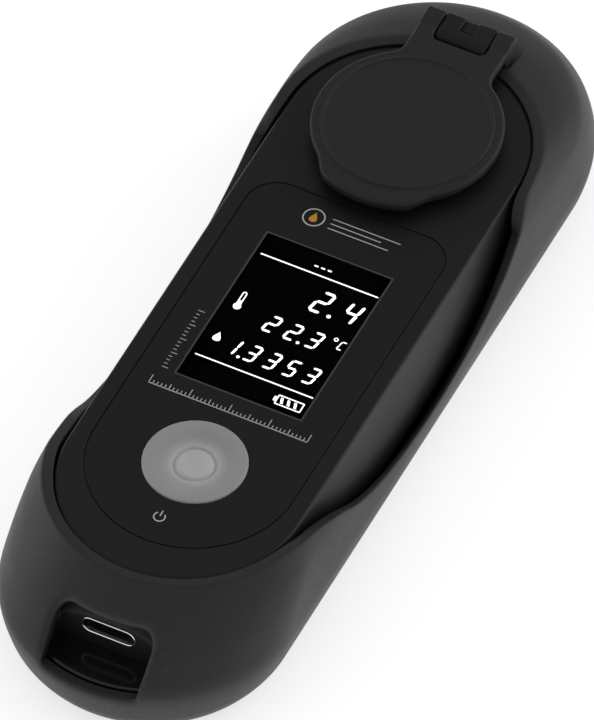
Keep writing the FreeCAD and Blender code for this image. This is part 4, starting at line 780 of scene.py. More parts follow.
def make_sleeve():
    """The boot is one closed skin. At every station round it a profile runs from the middle of the base
    out and up the outer wall to the rim, over a soft crest, across the flat rim band, down the inner wall
    and back to the middle. The port's window is left out of the outer and inner walls, and a wall of
    straight lines from the one edge to the other joins them."""
    inner_columns = np.concatenate([np.linspace(0, 5.0, 7),
                                    NOTCH_HALF - np.array([2.3, 1.8, 1.4, 1.0, 0.7, 0.45, 0.2, 0])])
    notch_columns = len(inner_columns) - 1
    beside = NOTCH_HALF + np.array([0.1, 0.22, 0.36, 0.52, 0.7, 0.92, 1.2, 1.5, 2.0, 2.6])
    stations = Stations(np.concatenate([inner_columns, beside]))
    _, crest_y = stations.points(*smooth_rise(np.array(CREST), SLEEVE_RINGS))
    top = CREST - dip(crest_y)
    crest_round, edge_round, base_round, band_drop = 0.42, 0.3, 0.8, 0.22
    open_width, open_depth, full_dip, fine = 1.2, 5.0, 5.0, 0.2 / CREST

    def outer(z):
        return stations.ring(smooth_rise(np.broadcast_to(z, stations.count), SLEEVE_RINGS), z)

    def inner(z):
        """The inner wall keeps the fit's gap to the casing, and opens a little more towards a dipped rim."""
        near_rim = np.clip(1 - (top - z) / open_depth, 0, 1) ** 2
        gap = SLEEVE_GAP + open_width * np.clip((CREST - top) / full_dip, 0, 1) * near_rim
        sizes = straight_rise(np.broadcast_to(z, stations.count), CASE_RINGS)
        return stations.ring(sizes, z, gap)

    shares, (row_low, row_high) = steps_with([NOTCH_FLOOR / CREST, NOTCH_LIP / CREST], 46, fine)
    outer_rows = [outer(np.where(top < CREST - 1e-6, share * (top - crest_round),
                                 np.minimum(share * CREST, CREST - crest_round)))
                  for share in shares]
    outer_rows[0] = outer(base_round / CREST * 0.3 * (top - crest_round))
    outer_rows[0][..., 2] = 0.0
    floor = SLEEVE_FLOOR
    inner_shares, (in_low, in_high) = steps_with(
        [(NOTCH_FLOOR - floor) / (CREST - floor), (NOTCH_LIP_INSIDE - floor) / (CREST - floor)], 40, fine)
    inner_top = top - band_drop
    inner_rows = [inner(floor + np.where(top < CREST - 1e-6, share * (inner_top - edge_round - floor),
                                         np.minimum(share * (CREST - floor), inner_top - edge_round - floor)))
                  for share in inner_shares]
    corner_out, corner_in = outer(top), inner(inner_top)
    band = corner_in - corner_out
    wide = np.linalg.norm(band, axis=-1, keepdims=True)
    crest = soften(outer_rows[-1], corner_out, corner_out + band / wide * crest_round * 0.8, 7)
    edge = soften(corner_in - band / wide * edge_round, corner_in, inner_rows[-1], 5)
    base_out, base_in = outer_rows[0], inner_rows[0]
    middle = np.array([0.0, 0.0, 0.0])
    shrink = np.linspace(0.12, 0.985, 8)
    base = [middle + share * (base_out - middle) for share in shrink]
    inner_floor = [np.array([0, 0, floor]) * (1 - share) + share * base_in for share in shrink[::-1]]
    rows = base + outer_rows + list(crest[1:]) + list(edge) + inner_rows[::-1][1:] + inner_floor
    grid = np.stack(rows)

    # room for the hinge: everything inside the arms' swing about the pin is pressed down
    x, y, z = grid[..., 0], grid[..., 1], grid[..., 2]
    inset = 0.05                 # the swing is a little smaller than a square corner's would be
    swing = math.hypot(ARM_BOSS, ARM_BOSS) - inset
    along = np.abs(y - PIN_Y)
    under_pin = PIN_Z - np.sqrt(np.maximum(swing**2 - along**2, 0))
    pressed = (np.abs(x) <= ARM_OUTER + HINGE_ROOM + 0.01) & (along < swing) & (z > under_pin)
    grid[..., 2] = np.where(pressed, under_pin, z)

    # the port's window, whose edge is rounded on the outside and at its corners
    first_outer = len(base)
    first_inner = len(rows) - len(inner_floor) - len(inner_rows)
    r0, r1 = first_outer + row_low, first_outer + row_high
    i1 = first_inner + (len(inner_rows) - 1 - in_high)
    i0 = first_inner + (len(inner_rows) - 1 - in_low)
    columns = np.arange(-notch_columns, notch_columns + 1) % stations.count
    edge_of = np.zeros(grid.shape[:2], bool)
    edge_of[r0, columns] = edge_of[r1, columns] = True
    edge_of[r0:r1 + 1, columns[0]] = edge_of[r0:r1 + 1, columns[-1]] = True
    outer_wall = np.zeros(grid.shape[:2], bool)
    wall_rows = slice(first_outer, first_outer + len(outer_rows))
    outer_wall[wall_rows] = grid[wall_rows, :, 1] < 0
    shape_window(grid, edge_of, outer_wall)
    form = Form()
    height, width = grid.shape[:2]
    r = np.arange(height - 1)[:, None]
    c = np.arange(width)[None, :]
    quads = np.stack([r * width + c, r * width + (c + 1) % width,
                      (r + 1) * width + (c + 1) % width, (r + 1) * width + c], -1)
    gone = np.zeros((height - 1, width), bool)
    for top_row, bottom_row in ((r1, r0), (i0, i1)):
        gone[min(top_row, bottom_row):max(top_row, bottom_row), columns[:-1]] = True
    form.add(grid.reshape(-1, 3), quads[~gone])
    form.fan(grid[0], middle)
    form.fan(grid[-1], np.array([0.0, 0.0, floor]))

    def loop(low_row, high_row):
        """The window's edge in one wall: its bottom, right side, top and left side."""
        step = 1 if high_row > low_row else -1
        between = np.arange(low_row + step, high_row, step)
        return (grid[low_row, columns], grid[between, columns[-1]], grid[high_row, columns],
                grid[between, columns[0]])

    outer_low, outer_right, outer_high, outer_left = loop(r0, r1)
    inner_low, inner_right, inner_high, inner_left = loop(i0, i1)

    def matched(run, count_wanted):
        """A run of points shared out anew to the count wanted, along straight lines between them."""
        old = np.linspace(0, 1, len(run))
        new = np.linspace(0, 1, count_wanted)
        return np.stack([np.interp(new, old, run[:, k]) for k in range(3)], -1)

    def closed_loop(low, right, high, left):
        return np.vstack([low, right, high[::-1], left[::-1]])

    outside = closed_loop(outer_low, outer_right, outer_high, outer_left)
    side_count = len(outer_right)
    within = closed_loop(inner_low, matched(inner_right, side_count), inner_high, matched(inner_left, side_count))
    blend = np.linspace(0, 1, 5)[:, None, None]
    form.sheet(outside + blend * (within - outside))
    return form.make("sleeve_skin", "case", FINISH["sleeve_rubber"], "sleeve_rubber", ["sleeve"],
                     math.radians(62))


# ---- casing ----

def label_loop(gap=0.0):
    """The label's outline: two long sides, rounded top corners and one half circle round the button's end,
    whose centre is on the axis; gap grows it all round."""
    half = LABEL_HIGH[0] + gap
    top = LABEL_HIGH[1] + gap
    centre = LABEL_LOW[1] + LABEL_HIGH[0]
    corner = 5.0 + gap
    low = arc_points(0, centre, half, 180, 360, 72)
    right = arc_points(half - corner, top - corner, corner, 0, 90, 14)
    left = arc_points(-half + corner, top - corner, corner, 90, 180, 14)
    return finer(np.vstack([low, right, left]), 2.5)


def port_loop(grow):
    """The port's outline in the end view: a flat bar with round ends, grown all round."""
    half_width, half_height = (PORT_HIGH[0] - PORT_LOW[0]) / 2, (PORT_HIGH[2] - PORT_LOW[2]) / 2
    radius, centre = half_height + grow, half_width - half_height
    return finer(np.vstack([arc_points(centre, PORT_Z, radius, -90, 90, 20),
                            arc_points(-centre, PORT_Z, radius, 90, 270, 20)]), 1.0)


def opening_loop(grow, radius):
    """The display's opening, grown all round."""
    half = OPENING / 2 + grow
    return box_loop(-half[0], DISPLAY_Y - half[1], half[0], DISPLAY_Y + half[1], radius)


def make_top_case():
    """Upper shell. The flank rises through the casing's outlines to a rounded face edge; within the port's
    recess it is pressed back to the upright wall. The face has a shallow bed for the label and holes for the
    well, display and button, with soft edges; a matching inner skin closes the shell."""
    form = Form()
    plate_half, plate_low, plate_high = 5.0, 12.2, 15.9
    plate_columns = 8
    stations = Stations(np.concatenate([np.linspace(0, plate_half, plate_columns + 1),
                                        np.linspace(plate_half, NOTCH_HALF, 6)[1:]]))
    face_round, wall = 0.55, CASE_WALL
    levels = np.unique(np.concatenate([[PARTING, plate_low, plate_high],
                                       np.linspace(PARTING + 0.25, FACE - face_round, 26)]))
    rows = []
    for level in levels:
        sizes = straight_rise(np.array(level), CASE_RINGS)
        grow = -0.15 if level == PARTING else 0.0
        rows.append(stations.ring(sizes, level, grow))
    top_sizes = straight_rise(np.array(FACE), CASE_RINGS)
    edge_corner = stations.ring(top_sizes, FACE)
    edge_end = stations.ring(top_sizes, FACE, -face_round)
    rows += list(soften(rows[-1], edge_corner, edge_end, 6)[1:])
    grid = np.stack(rows)
    recess = (np.abs(grid[..., 0]) <= NOTCH_HALF + 1e-6) & (grid[..., 1] < PORT_WALL)
    grid[..., 1] = np.where(recess, PORT_WALL, grid[..., 1])

    port = port_loop(0.06)
    columns = np.arange(-plate_columns, plate_columns + 1) % stations.count

    def pierced(wall_grid, heights):
        """A wall with a rectangle of its faces replaced by a flat plate round the port's hole. Returns the
        plate's place along Y."""
        low_row, high_row = (int(np.argmin(np.abs(heights - edge))) for edge in (plate_low, plate_high))
        skin = Form()
        skin.sheet(wall_grid)
        quads = np.array(skin.faces).reshape(len(wall_grid) - 1, stations.count, 4)
        keep = np.ones(quads.shape[:2], bool)
        keep[low_row:high_row, columns[:-1]] = False
        form.add(skin.points[0], quads[keep])
        sides = slice(low_row + 1, high_row)
        rim = np.vstack([wall_grid[low_row, columns], wall_grid[sides, columns[-1]],
                         wall_grid[high_row, columns[::-1]], wall_grid[sides, columns[0]][::-1]])
        panel = Form()
        panel.plate(rim[:, [0, 2]], [port], 0.0)
        points = panel.points[0][:, [0, 2, 1]]
        points[:, 1] = rim[:, 1].mean()
        form.add(points, panel.faces)
        return rim[:, 1].mean()

    front = pierced(grid, levels)
    bed_depth = FACE - LABEL_LOW[2]
    bed = label_loop(0.15)
    well = circle(0, WELL_Y, WELL_HIGH[0] + 0.08, 120)
    display = opening_loop(0.0, 0.4)
    button = circle(0, BUTTON_Y, BUTTON_HOLE, 96)
    soft = 0.12
    form.plate(edge_end[:, :2], [swell(bed, soft), swell(well, soft)], FACE)
    form.wall([swell(bed, soft), swell(bed, soft * 0.3), bed, bed],
              [FACE, FACE - soft * 0.3, FACE - soft, FACE - bed_depth])
    form.plate(bed, [display, button], FACE - bed_depth)
    ceiling = FACE - 2.0
    form.wall([display, display], [FACE - bed_depth, ceiling])
    form.wall([button, button], [FACE - bed_depth, ceiling])
    form.wall([swell(well, soft), well, well], [FACE, FACE - soft, ceiling])
    ceiling_sizes = straight_rise(np.array(ceiling), CASE_RINGS)
    inner_top = stations.ring(ceiling_sizes, ceiling, -wall)
    form.plate(inner_top[:, :2], [well, display, button], ceiling)
    inner_levels = np.unique(np.concatenate([np.linspace(PARTING, ceiling, 12), [plate_low, plate_high]]))
    inner = np.stack([stations.ring(straight_rise(np.array(level), CASE_RINGS), level, -wall)
                      for level in inner_levels])
    inner_wall = PORT_WALL + 1.2
    pressed = (np.abs(inner[..., 0]) <= NOTCH_HALF + 1e-6) & (inner[..., 1] < inner_wall)
    flat = (np.abs(inner[..., 0]) <= plate_half + 1e-6) & (inner[..., 1] < 0)
    flat &= (inner[..., 2] >= plate_low - 0.01) & (inner[..., 2] <= plate_high + 0.01)
    inner[..., 1] = np.where(pressed | flat, inner_wall, inner[..., 1])
    back = pierced(inner, inner_levels)
    tunnel = np.stack([np.column_stack([port[:, 0], np.full(len(port), y), port[:, 1]]) for y in (front, back)])
    form.sheet(tunnel)
    form.sheet(np.stack([grid[0], inner[0]]))
    return form.make("upper_casing", "case", FINISH["case_plastic"], "case_plastic", ["top_case"])


def make_hinge_lug():
    """The lug that holds the lid's pin: its side outline, with a round front shoulder and a broken back
    edge, carried across the width in three strips; the middle strip is cut lower towards the back."""
    front, back, top, root = PIN_Y - 3.4, PIN_Y + 1.95, PIN_Z + 1.7, FACE - 1.9
    form = Form()

    slot_half, slot_depth, slot_reach, soft = 1.1, 0.5, 2.6, 0.22
    cheek = rounded([(front, root), (back, root), (back, top), (front, top)], [0, 0, 0.35, 1.9], 10)
    form.slab(cheek, (), slot_half, LUG_HALF, soft, soft)
    form.slab(cheek, (), -LUG_HALF, -slot_half, soft, soft)
    outline = rounded([(front, root), (back, root), (back, top - slot_depth), (back - slot_reach, top - slot_depth),
                       (back - slot_reach, top - 0.02), (front, top - 0.02)], [0, 0, 0.25, 0.45, 0.3, 1.88], 10)
    form.slab(outline, (), -slot_half - 0.25, slot_half + 0.25, 0.0, 0.0)
    form.turned([2, 0, 1])
    return form.make("hinge_lug", "case", FINISH["case_plastic"], "case_plastic", ["top_case"])


def make_lower_case():
    """Lower shell: the casing's outlines from the base to the parting line, a small rounded upper edge,
    then back down inside to a flat floor."""
    form = Form()
    stations = Stations(np.linspace(0, NOTCH_HALF, 12))
    soft, wall = 0.45, CASE_WALL
    levels = np.linspace(CASE_RINGS[0, 0], PARTING - soft, 18)
    rows = [stations.ring(straight_rise(np.array(level), CASE_RINGS), level) for level in levels]
    top_sizes = straight_rise(np.array(PARTING), CASE_RINGS)
    rows += list(soften(rows[-1], stations.ring(top_sizes, PARTING), stations.ring(top_sizes, PARTING, -soft), 5)[1:])
    shelf = stations.ring(top_sizes, PARTING, -wall)
    low_shelf = (np.abs(shelf[:, 0]) <= NOTCH_HALF + 1e-6) & (shelf[:, 1] < PORT_WALL + 1.0)
    shelf[:, 1] = np.where(low_shelf, PORT_WALL + 1.0, shelf[:, 1])
    rows.append(shelf)
    floor = CASE_RINGS[0, 0] + wall
    for level in np.linspace(PARTING, floor, 8)[1:]:
        row = stations.ring(straight_rise(np.array(level), CASE_RINGS), level, -wall)
        row[:, 1] = np.where(low_shelf, PORT_WALL + 1.0, row[:, 1])
        rows.append(row)
    form.sheet(np.stack(rows))
    form.plate(rows[0][:, :2], [], CASE_RINGS[0, 0])
    form.plate(rows[-1][:, :2], [], floor)
    return form.make("lower_casing", "case", FINISH["case_gloss"], "case_plastic", ["bottom_case"])


# ---- label, display and button ----

def make_label():
    """The film on the face: its outline and openings with a fine rounded edge."""
    form = Form()
    form.slab(label_loop(), [finer(opening_loop(0.0, 0.25), 2.0), circle(0, BUTTON_Y, BUTTON_HOLE, 96)],
              LABEL_LOW[2], LABEL_HIGH[2], 0.09, 0.0)
    return form.make("label_film", "case", FINISH["label_film"], "label_film", ["label_overlay"])


def make_window_frame():
    """A thin black border, a hair wide, round the display's opening, where the film's cut edge shows."""
    form = Form()
    form.slab(opening_loop(-0.03, 0.2), [opening_loop(-0.3, 0.15)], WINDOW_HIGH[2] + 0.005, WINDOW_HIGH[2] + 0.03)
    return form.make("window_border", "case", FINISH["holder_plastic"], "holder_plastic")


SEGMENTS = {
    "0": "abcdef", "1": "bc", "2": "abdeg", "3": "abcdg", "4": "bcfg", "5": "acdfg", "8": "abcdefg", "C": "adef",
}


def digit_strokes(symbol, left, foot, width, height, pen):
    """The bars of a seven-segment figure, each a six-sided stroke with pointed ends."""
    gap = pen * 0.09
    half = height / 2
    ends = {
        "a": ((0, height), (width, height)), "g": ((0, half), (width, half)), "d": ((0, 0), (width, 0)),
        "f": ((0, half), (0, height)), "b": ((width, half), (width, height)),
        "e": ((0, 0), (0, half)), "c": ((width, 0), (width, half)),
    }
    strokes = []
    for name in SEGMENTS[symbol]:
        start, stop = (np.array(p, float) for p in ends[name])
        run = (stop - start) / np.linalg.norm(stop - start)
        side = np.array([-run[1], run[0]]) * pen / 2
        a, b = start + run * gap, stop - run * gap
        tip = run * pen / 2
        stroke = np.array([a, a + tip - side, b - tip - side, b, b - tip + side, a + tip + side])
        strokes.append(stroke + (left, foot))
    return strokes


def slanted(loop, lean, foot):
    """An outline leaned over: each point moves sideways in proportion to its height above foot."""
    return np.column_stack([loop[:, 0] + (loop[:, 1] - foot) * lean, loop[:, 1]])


def bar(x0, y0, x1, y1, pen):
    """A straight stroke with round ends."""
    start, stop = np.array([x0, y0], float), np.array([x1, y1], float)
    angle = math.degrees(math.atan2(*(stop - start)[::-1]))
    return np.vstack([arc_points(*stop, pen / 2, angle - 90, angle + 90, 6),
                      arc_points(*start, pen / 2, angle + 90, angle + 270, 6)])


def make_reading():
    """What the display shows: two rules, three short dashes, three lines of leaning figures, a degree sign
    with its unit, a thermometer, a drop and a battery. All are thin raised marks on the panel, in one lit
    piece."""
    form = Form()
    level = PANEL_HIGH[2] + 0.02
    thick = 0.03
    lean = 0.2

    def mark(loop, holes=()):
        form.slab(np.asarray(loop), holes, level, level + thick)

    def figures(text, right, foot, width, height, pitch, pen):
        for number, symbol in enumerate(text[::-1]):
            for stroke in digit_strokes(symbol, right - width - number * pitch, foot, width, height, pen):
                mark(slanted(stroke, lean, foot))

    y0 = DISPLAY_Y
    figures("24", 8.15, y0 + 4.95, 1.75, 3.95, 4.85, 0.46)
    mark(circle(4.85, y0 + 4.95, 0.33, 14))
    figures("223", 5.5, y0 - 1.6, 1.45, 3.0, 3.5, 0.37)
    mark(circle(3.0, y0 - 1.6, 0.27, 14))
    figures("13353", 8.1, y0 - 7.95, 1.4, 3.0, 3.22, 0.36)
    mark(circle(-3.65, y0 - 7.95, 0.26, 14))
    mark(circle(7.85, y0 + 1.45, 0.36, 20), [circle(7.85, y0 + 1.45, 0.21, 20)])
    for stroke in digit_strokes("C", 8.6, y0 - 0.1, 0.75, 1.55, 0.2):
        mark(slanted(stroke, lean, y0 - 0.1))
    mark(bar(-9.5, y0 + 11.45, 9.7, y0 + 11.45, 0.22))
    mark(bar(-9.5, y0 - 10.15, 9.7, y0 - 10.15, 0.22))
    for place in (-1.1, 0.0, 1.1):
        mark(bar(place - 0.22, y0 + 12.9, place + 0.22, y0 + 12.9, 0.26))

    # thermometer: bulb, stem outline and its column
    tx, ty = -8.15, y0 + 0.75
    mark(circle(tx, ty, 0.62, 28))
    stem = rounded([(tx - 0.38, ty + 0.4), (tx + 0.38, ty + 0.4), (tx + 0.38, ty + 3.0), (tx - 0.38, ty + 3.0)],
                   [0, 0, 0.37, 0.37], 8)
    hollow = rounded([(tx - 0.2, ty + 1.2), (tx + 0.2, ty + 1.2), (tx + 0.2, ty + 2.8), (tx - 0.2, ty + 2.8)],
                     [0, 0, 0.19, 0.19], 8)
    mark(stem, [hollow])

    # small drop, the sign for the sample
    dx, dy = -8.1, y0 - 5.7
    turn = np.linspace(0, 2 * math.pi, 32, endpoint=False)
    drop = np.column_stack([0.62 * np.sin(turn) * (1 - np.cos(turn)) / 1.3, -0.95 * np.cos(turn)])
    mark((drop * (-1, -1) + (dx, dy))[::-1])

    # battery: outline, cap and three leaning bars
    bx, by, bw, bh = 5.0, y0 - 13.6, 4.3, 1.9
    mark(box_loop(bx, by, bx + bw, by + bh, 0.2, 4),
         [box_loop(bx + 0.2, by + 0.2, bx + bw - 0.2, by + bh - 0.2, 0.08, 3)])
    mark(box_loop(bx - 0.42, by + 0.5, bx - 0.08, by + bh - 0.5, 0.08, 3))
    for place in (0.85, 1.95, 3.05):
        mark([(bx + place, by + 0.42), (bx + place + 0.42, by + 0.42),
              (bx + place + 0.12, by + bh - 0.42), (bx + place - 0.3, by + bh - 0.42)])
    return form.make("display_reading", "case", SEGMENT_GLOW, "display_black")


def make_label_marks():
    """Printed signs on the film: a drop in a ring, a measuring scale below the display, a short upright
    scale at its left, and a switch sign below the button."""
    form, accent = Form(), Form()
    level, thick = LABEL_HIGH[2] - 0.004, 0.014

    def mark(loop, holes=(), target=form):
        target.slab(np.asarray(loop), holes, level, level + thick)

    scale_y = DISPLAY_Y - 18.6
    for number in range(41):
        place = -13.0 + number * 0.65
        reach = 1.5 if number % 10 == 0 else 1.0 if number % 5 == 0 else 0.6
        mark(bar(place, scale_y, place, scale_y + reach, 0.13))
    mark(bar(-13.0, scale_y - 0.02, 13.0, scale_y - 0.02, 0.16))
    for number in range(17):
        place = DISPLAY_Y - 15.0 + number * 0.75
        reach = 0.95 if number % 4 == 0 else 0.5
        mark(bar(-12.6, place, -12.6 + reach, place, 0.11))
    ring_x, ring_y = -5.4, DISPLAY_Y + 20.7
    mark(circle(ring_x, ring_y, 1.75, 48), [circle(ring_x, ring_y, 1.53, 48)])
    turn = np.linspace(0, 2 * math.pi, 32, endpoint=False)
    drop = np.column_stack([-0.62 * np.sin(turn) * (1 - np.cos(turn)) / 1.3, 1.0 * np.cos(turn)])
    mark(drop[::-1] * (-1, 1) + (ring_x, ring_y + 0.1), (), accent)
    for number, (start, stop) in enumerate(((-2.6, 8.4), (-2.6, 5.6), (-2.6, 7.2))):
        mark(bar(start, ring_y + 0.95 - 0.95 * number, stop, ring_y + 0.95 - 0.95 * number, 0.16))
    sign_y = BUTTON_Y - 11.6
    sign = np.vstack([arc_points(0, sign_y, 0.95, 130, 410, 36), arc_points(0, sign_y, 0.75, 410, 130, 36)])
    mark(sign)
    mark(bar(0, sign_y + 0.25, 0, sign_y + 1.15, 0.2))
    form.make("label_print", "case", WHITE_INK, "label_film")
    accent.make("label_print_drop", "case", AMBER_INK, "label_film")


def make_button():
    """The silicone cap: a body of revolution with a soft outer rim, a gentle dish, a round moat and a low
    nub in its middle; below the face a flange and a stem."""
    top, low = BUTTON_HIGH[2], BUTTON_LOW[2]
    radius, flange = 7.9, BUTTON_HIGH[0]
    rise = np.linspace(0, 1, 10)
    dish = [(7.0 - 3.55 * s, top - 0.7 * (0.5 - 0.5 * math.cos(math.pi * s))) for s in rise]
    dish_low = top - 0.7
    moat = [(3.45 - 0.75 * s, dish_low - 0.35 * math.sin(math.pi * s)) for s in np.linspace(0.12, 1, 9)]
    nub = [(2.7 * math.cos(a), dish_low + 0.22 * math.sin(a)) for a in np.linspace(0.15, math.pi / 2, 8)]
    rim = [(radius - 0.3 + 0.3 * math.cos(a), top - 0.3 + 0.3 * math.sin(a)) for a in np.linspace(0, math.pi / 2, 7)]
    profile = [(0, low), (2.0, low), (2.0, 19.55), (flange, 19.55), (flange, 20.35), (radius, 20.35)]
    profile += rim + dish + moat + nub
    profile[-1] = (0, profile[-1][1])
    form = Form()
    form.revolve(profile, (0, BUTTON_Y, 0), 128)
    return form.make("button_dome", "button", FINISH["button_silicone"], "button_silicone", ["button_cap"])


# ---- sample well ----

def make_well():
    """The steel dish: a rim level with the face with soft edges, a bowl that falls along a cosine to the
    window over the prism, and its underside."""
    outer, top, low = WELL_HIGH[0], FACE, WELL_LOW[2]
    bowl_radius, window, depth, metal_wall = 9.6, 4.5, WELL_DEPTH, 0.6
    bowl = [(bowl_radius - (bowl_radius - window) * s, top - 0.12 - (depth - 0.12) * math.sin(math.pi / 2 * s))
            for s in np.linspace(0, 1, 24)]
    rim = [(outer, top - metal_wall), (outer, top - 0.12), (outer - 0.05, top - 0.03), (outer - 0.15, top),
           (bowl_radius + 0.25, top), (bowl_radius + 0.08, top - 0.03)]
    under = [(window, low), (10.2, low), (10.2, top - metal_wall), (outer, top - metal_wall)]
    form = Form()
    form.revolve(rim + bowl + under, (0, WELL_Y, 0), 160)
    return form.make("well_dish", "case", FINISH["well_steel"], "well_steel", ["sample_well"])


def make_well_window():
    """The prism's polished top face as it shows in the dish: a low glass button with a rounded edge."""
    top, radius, edge = FACE - WELL_DEPTH - 0.05, 4.45, 0.25
    form = Form()
    curve = [(radius - edge + edge * math.cos(a), top - edge + edge * math.sin(a))
             for a in np.linspace(0, math.pi / 2, 6)]
    form.revolve([(0, top - 0.5), (radius, top - 0.5)] + curve + [(0, top)], (0, WELL_Y, 0), 96)
    return form.make("prism_face", "case", FINISH["optical_glass"], "optical_glass")


# ---- lid ----

def lid_outline():
    """The lid's plate from above, anticlockwise: the forked neck with filleted roots, and round the disc
    R(a) = LID_RADIUS + (TAB_RADIUS - LID_RADIUS) s(t), where s(t) = t t (3 - 2 t) rises from 0 to 1 over
    20 degrees on each side of the thumb tab."""
    fillet, end, soft = 3.0, PIN_Y - WELL_Y + ARM_BOSS, 0.5
    across = ARM_OUTER + fillet
    along = math.sqrt((LID_RADIUS + fillet) ** 2 - across**2)
    bend = math.degrees(math.atan2(along, across))
    slot_foot, slot_round = 52.75 - WELL_Y, 1.0
    right = np.vstack([
        arc_points(across, along, fillet, bend - 180, -180, 12),
        arc_points(ARM_OUTER - soft, end - soft, soft, 0, 90, 6),
        arc_points(ARM_INNER + soft, end - soft, soft, 90, 180, 6),
        arc_points(ARM_INNER - slot_round, slot_foot + slot_round, slot_round, 0, -90, 7),
    ])
    left = right[::-1] * (-1, 1)
    angle = np.linspace(180 - bend, 360 + bend, 200)[1:-1]
    share = np.clip((42.0 - np.abs(angle - 270.0)) / 20.0, 0, 1)
    reach = LID_RADIUS + (TAB_RADIUS - LID_RADIUS) * share**2 * (3 - 2 * share)
    turned = np.radians(angle)
    disc = np.stack([reach * np.cos(turned), reach * np.sin(turned)], -1)
    return finer(np.vstack([right, left, disc]), 1.5) + (0, WELL_Y)


def make_lid():
    """The rubber lid: a level plate with rounded edges for flange, tab and forked neck; a body of revolution
    with a faint crown inside a thin round bead on top and a recessed foot below; and on each arm a foot
    about the pin."""
    form = Form()
    form.slab(lid_outline(), (), LID_Z + 0.75, LID_PLATE_TOP, 0.55, 0.3)
    bead, bead_sink = 0.42, 0.17
    crown = [(r, LID_PLATE_TOP + 0.07 - 0.04 * (r / BEAD_RADIUS) ** 2)
             for r in np.linspace(0, BEAD_RADIUS - bead, 14)]
    ridge = [(BEAD_RADIUS + bead * math.cos(a), LID_PLATE_TOP - bead_sink + bead * math.sin(a))
             for a in np.linspace(math.pi - 0.55, 0.1, 14)]
    foot = [(13.3, LID_PLATE_TOP - 0.3), (13.3, LID_Z + 1.0), (14.0, LID_Z + 0.95), (14.05, LID_Z + 0.3),
            (13.95, LID_Z + 0.08), (13.7, LID_Z)]
    under = [(11.3, LID_Z), (11.0, LID_Z + 0.1), (10.8, LID_Z + 0.5), (10.4, LID_Z + 0.6), (0, LID_Z + 0.6)]
    form.revolve(crown + ridge + foot + under, (0, WELL_Y, 0), 192)

    # each arm's end from the side: it rises a little above the plate, with a square back and a foot about
    # the pin
    boss = rounded([(PIN_Y - ARM_BOSS - 0.6, LID_Z + 1.0), (PIN_Y - ARM_BOSS + 0.2, PIN_Z - ARM_BOSS),
                    (PIN_Y + ARM_BOSS - 0.02, PIN_Z - ARM_BOSS), (PIN_Y + ARM_BOSS - 0.02, PIN_Z + ARM_BOSS),
                    (PIN_Y - 0.4, PIN_Z + ARM_BOSS), (PIN_Y - ARM_BOSS - 0.6, LID_PLATE_TOP - 0.25)],
                   [0.1, 0.8, 1.7, 0.8, 1.6, 0.1], 10)
    arms, inset, soft = Form(), 0.04, 0.3
    arms.slab(boss, (), ARM_INNER + inset, ARM_OUTER - inset, soft, soft)
    arms.slab(boss, (), -ARM_OUTER + inset, -ARM_INNER - inset, soft, soft)
    arms.turned([2, 0, 1])
    form.join(arms)
    return form.make("lid_cover", "lid", FINISH["lid_rubber"], "lid_rubber", ["lid"])


# ---- charging port ----

def make_port():
    """The port's steel shell as a thin tube drawn along Y with a rolled mouth, and its tongue with a row
    of contact strips."""
    skin, mouth, back = 0.3, PORT_WALL - 0.08, PORT_HIGH[1]
    lip = 0.12
    form = Form()
    grows = [0, 0, -0.04, -skin / 2, -skin + 0.04, -skin, -skin]
    depths = [back, mouth + lip, mouth + 0.03, mouth - 0.02, mouth + 0.03, mouth + lip, back - skin]
    form.wall([port_loop(grow) for grow in grows], depths)
    form.plate(port_loop(0), [], back)
    form.plate(port_loop(-skin), [], back - skin)
    form.turned([0, 2, 1])
    form.make("port_mouth", "case", FINISH["port_steel"], "port_steel", ["port_shell"])

    tongue = Form()
    half_tongue = 3.35
    outline = rounded([(-half_tongue, TONGUE_LOW[1]), (half_tongue, TONGUE_LOW[1]),
                       (half_tongue, TONGUE_HIGH[1]), (-half_tongue, TONGUE_HIGH[1])], [0.5, 0.5, 0, 0], 6)
    tongue.slab(outline, (), PORT_Z - 0.35, PORT_Z + 0.35, 0.1, 0.1)
    tongue.make("port_blade", "case", FINISH["tongue_black"], "tongue_black", ["port_tongue"])
    strips = Form()
    for number in range(12):
        place = -2.75 + number * 0.5
        strips.slab(box_loop(place - 0.13, TONGUE_LOW[1] + 0.55, place + 0.13, TONGUE_HIGH[1] - 1.8, 0.05, 3), (),
                    PORT_Z + 0.34, PORT_Z + 0.375)
    edge_metal = box_loop(-2.9, TONGUE_LOW[1] - 0.02, 2.9, TONGUE_LOW[1] + 0.16, 0.05, 3)
    strips.slab(edge_metal, (), PORT_Z + 0.1, PORT_Z + 0.37, 0.03, 0.0)
    strips.make("port_contacts", "case", FINISH["port_steel"], "port_steel")


# ---- finishes on the CAD nodes that stay ----

def dress_cad_nodes():
    """Gives every CAD node the finish of its own material slot."""
    slots = {row["node"]: row["material_slot"] for row in frame["record"]["subparts"]}
    for name, piece in frame["nodes"].items():
        piece.data.materials.clear()
        piece.data.materials.append(FINISH[slots[name]])


# ---- camera, lights and floor ----

def aim(thing, back):
    """Turns a camera or a light so that it looks along minus back."""
    thing.rotation_mode = "QUATERNION"
    thing.rotation_quaternion = (-Vector(back)).to_track_quat("-Z", "Y")


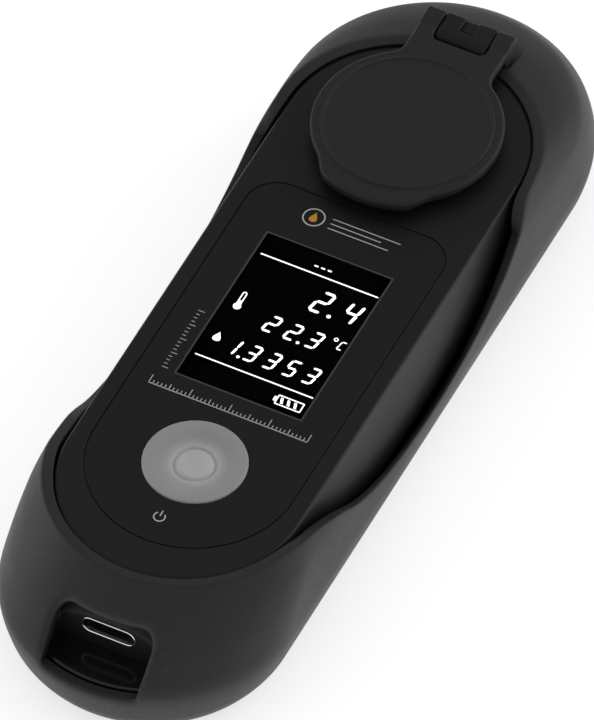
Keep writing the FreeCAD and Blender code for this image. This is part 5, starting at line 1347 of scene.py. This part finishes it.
def make_camera():
    """A long lens from in front of the charging port's end, to its right and well above."""
    azimuth, elevation, distance = math.radians(26.46), math.radians(49.87), 2.957
    back = Vector((math.sin(azimuth) * math.cos(elevation), -math.cos(azimuth) * math.cos(elevation),
                   math.sin(elevation)))
    data = bpy.data.cameras.new("view")
    data.lens, data.sensor_width, data.clip_end = 1005.0, 36.0, 20.0
    camera = bpy.data.objects.new("view", data)
    bpy.context.scene.collection.objects.link(camera)
    camera.location = Vector((0.00466, -0.01018, FACE * MM)) + back * distance
    aim(camera, back)
    bpy.context.scene.camera = camera


def make_light(name, place, size, power):
    """A square soft light at a place, looking at the object."""
    data = bpy.data.lights.new(name, "AREA")
    data.shape, data.size, data.energy = "SQUARE", size, power
    light = bpy.data.objects.new(name, data)
    bpy.context.scene.collection.objects.link(light)
    light.location = place
    aim(light, Vector(place))


def make_studio():
    """A pale floor that runs out far beyond the view, a pale even surround and soft side lights."""
    turn = np.linspace(0, 2 * math.pi, 64, endpoint=False)
    reach = np.array([0.0, 0.3, 1.2, 6.0])[:, None]
    grid = np.stack([reach * np.cos(turn), reach * np.sin(turn), np.zeros((4, 64)) - 0.00005], -1)
    form = Form()
    form.sheet(grid[1:] / MM)
    form.fan(grid[1] / MM, (0, 0, -0.05))
    mesh = bpy.data.meshes.new("floor")
    mesh.from_pydata(np.vstack(form.points) * MM, [], form.faces)
    paper = Finish("floor_paper", (0.86, 0.86, 0.86), 0.9, Specular_IOR_Level=0.1, Emission_Strength=0.62)
    paper.shader.inputs["Emission Color"].default_value = (1.0, 1.0, 1.0, 1.0)
    cloud = noise(paper.tree, paper.place, 4.0, 2.0)
    paper.tint(cloud, (0.84, 0.84, 0.84))
    mesh.materials.append(paper.material)
    floor = bpy.data.objects.new("floor", mesh)
    bpy.context.scene.collection.objects.link(floor)
    world = bpy.data.worlds.new("surround")
    world.use_nodes = True
    world.node_tree.nodes["Background"].inputs["Color"].default_value = (1.0, 1.0, 1.0, 1.0)
    world.node_tree.nodes["Background"].inputs["Strength"].default_value = 0.46
    bpy.context.scene.world = world
    make_light("left_soft", (-1.4, -0.25, 0.45), 0.9, 3.0)
    make_light("right_soft", (1.1, 1.0, 0.6), 0.8, 5.0)


bpy.context.scene.view_settings.view_transform = "Standard"
dress_cad_nodes()
make_sleeve()
make_top_case()
make_hinge_lug()
make_lower_case()
make_label()
make_window_frame()
make_reading()
make_label_marks()
make_button()
make_well()
make_well_window()
make_lid()
make_port()
make_camera()
make_studio()
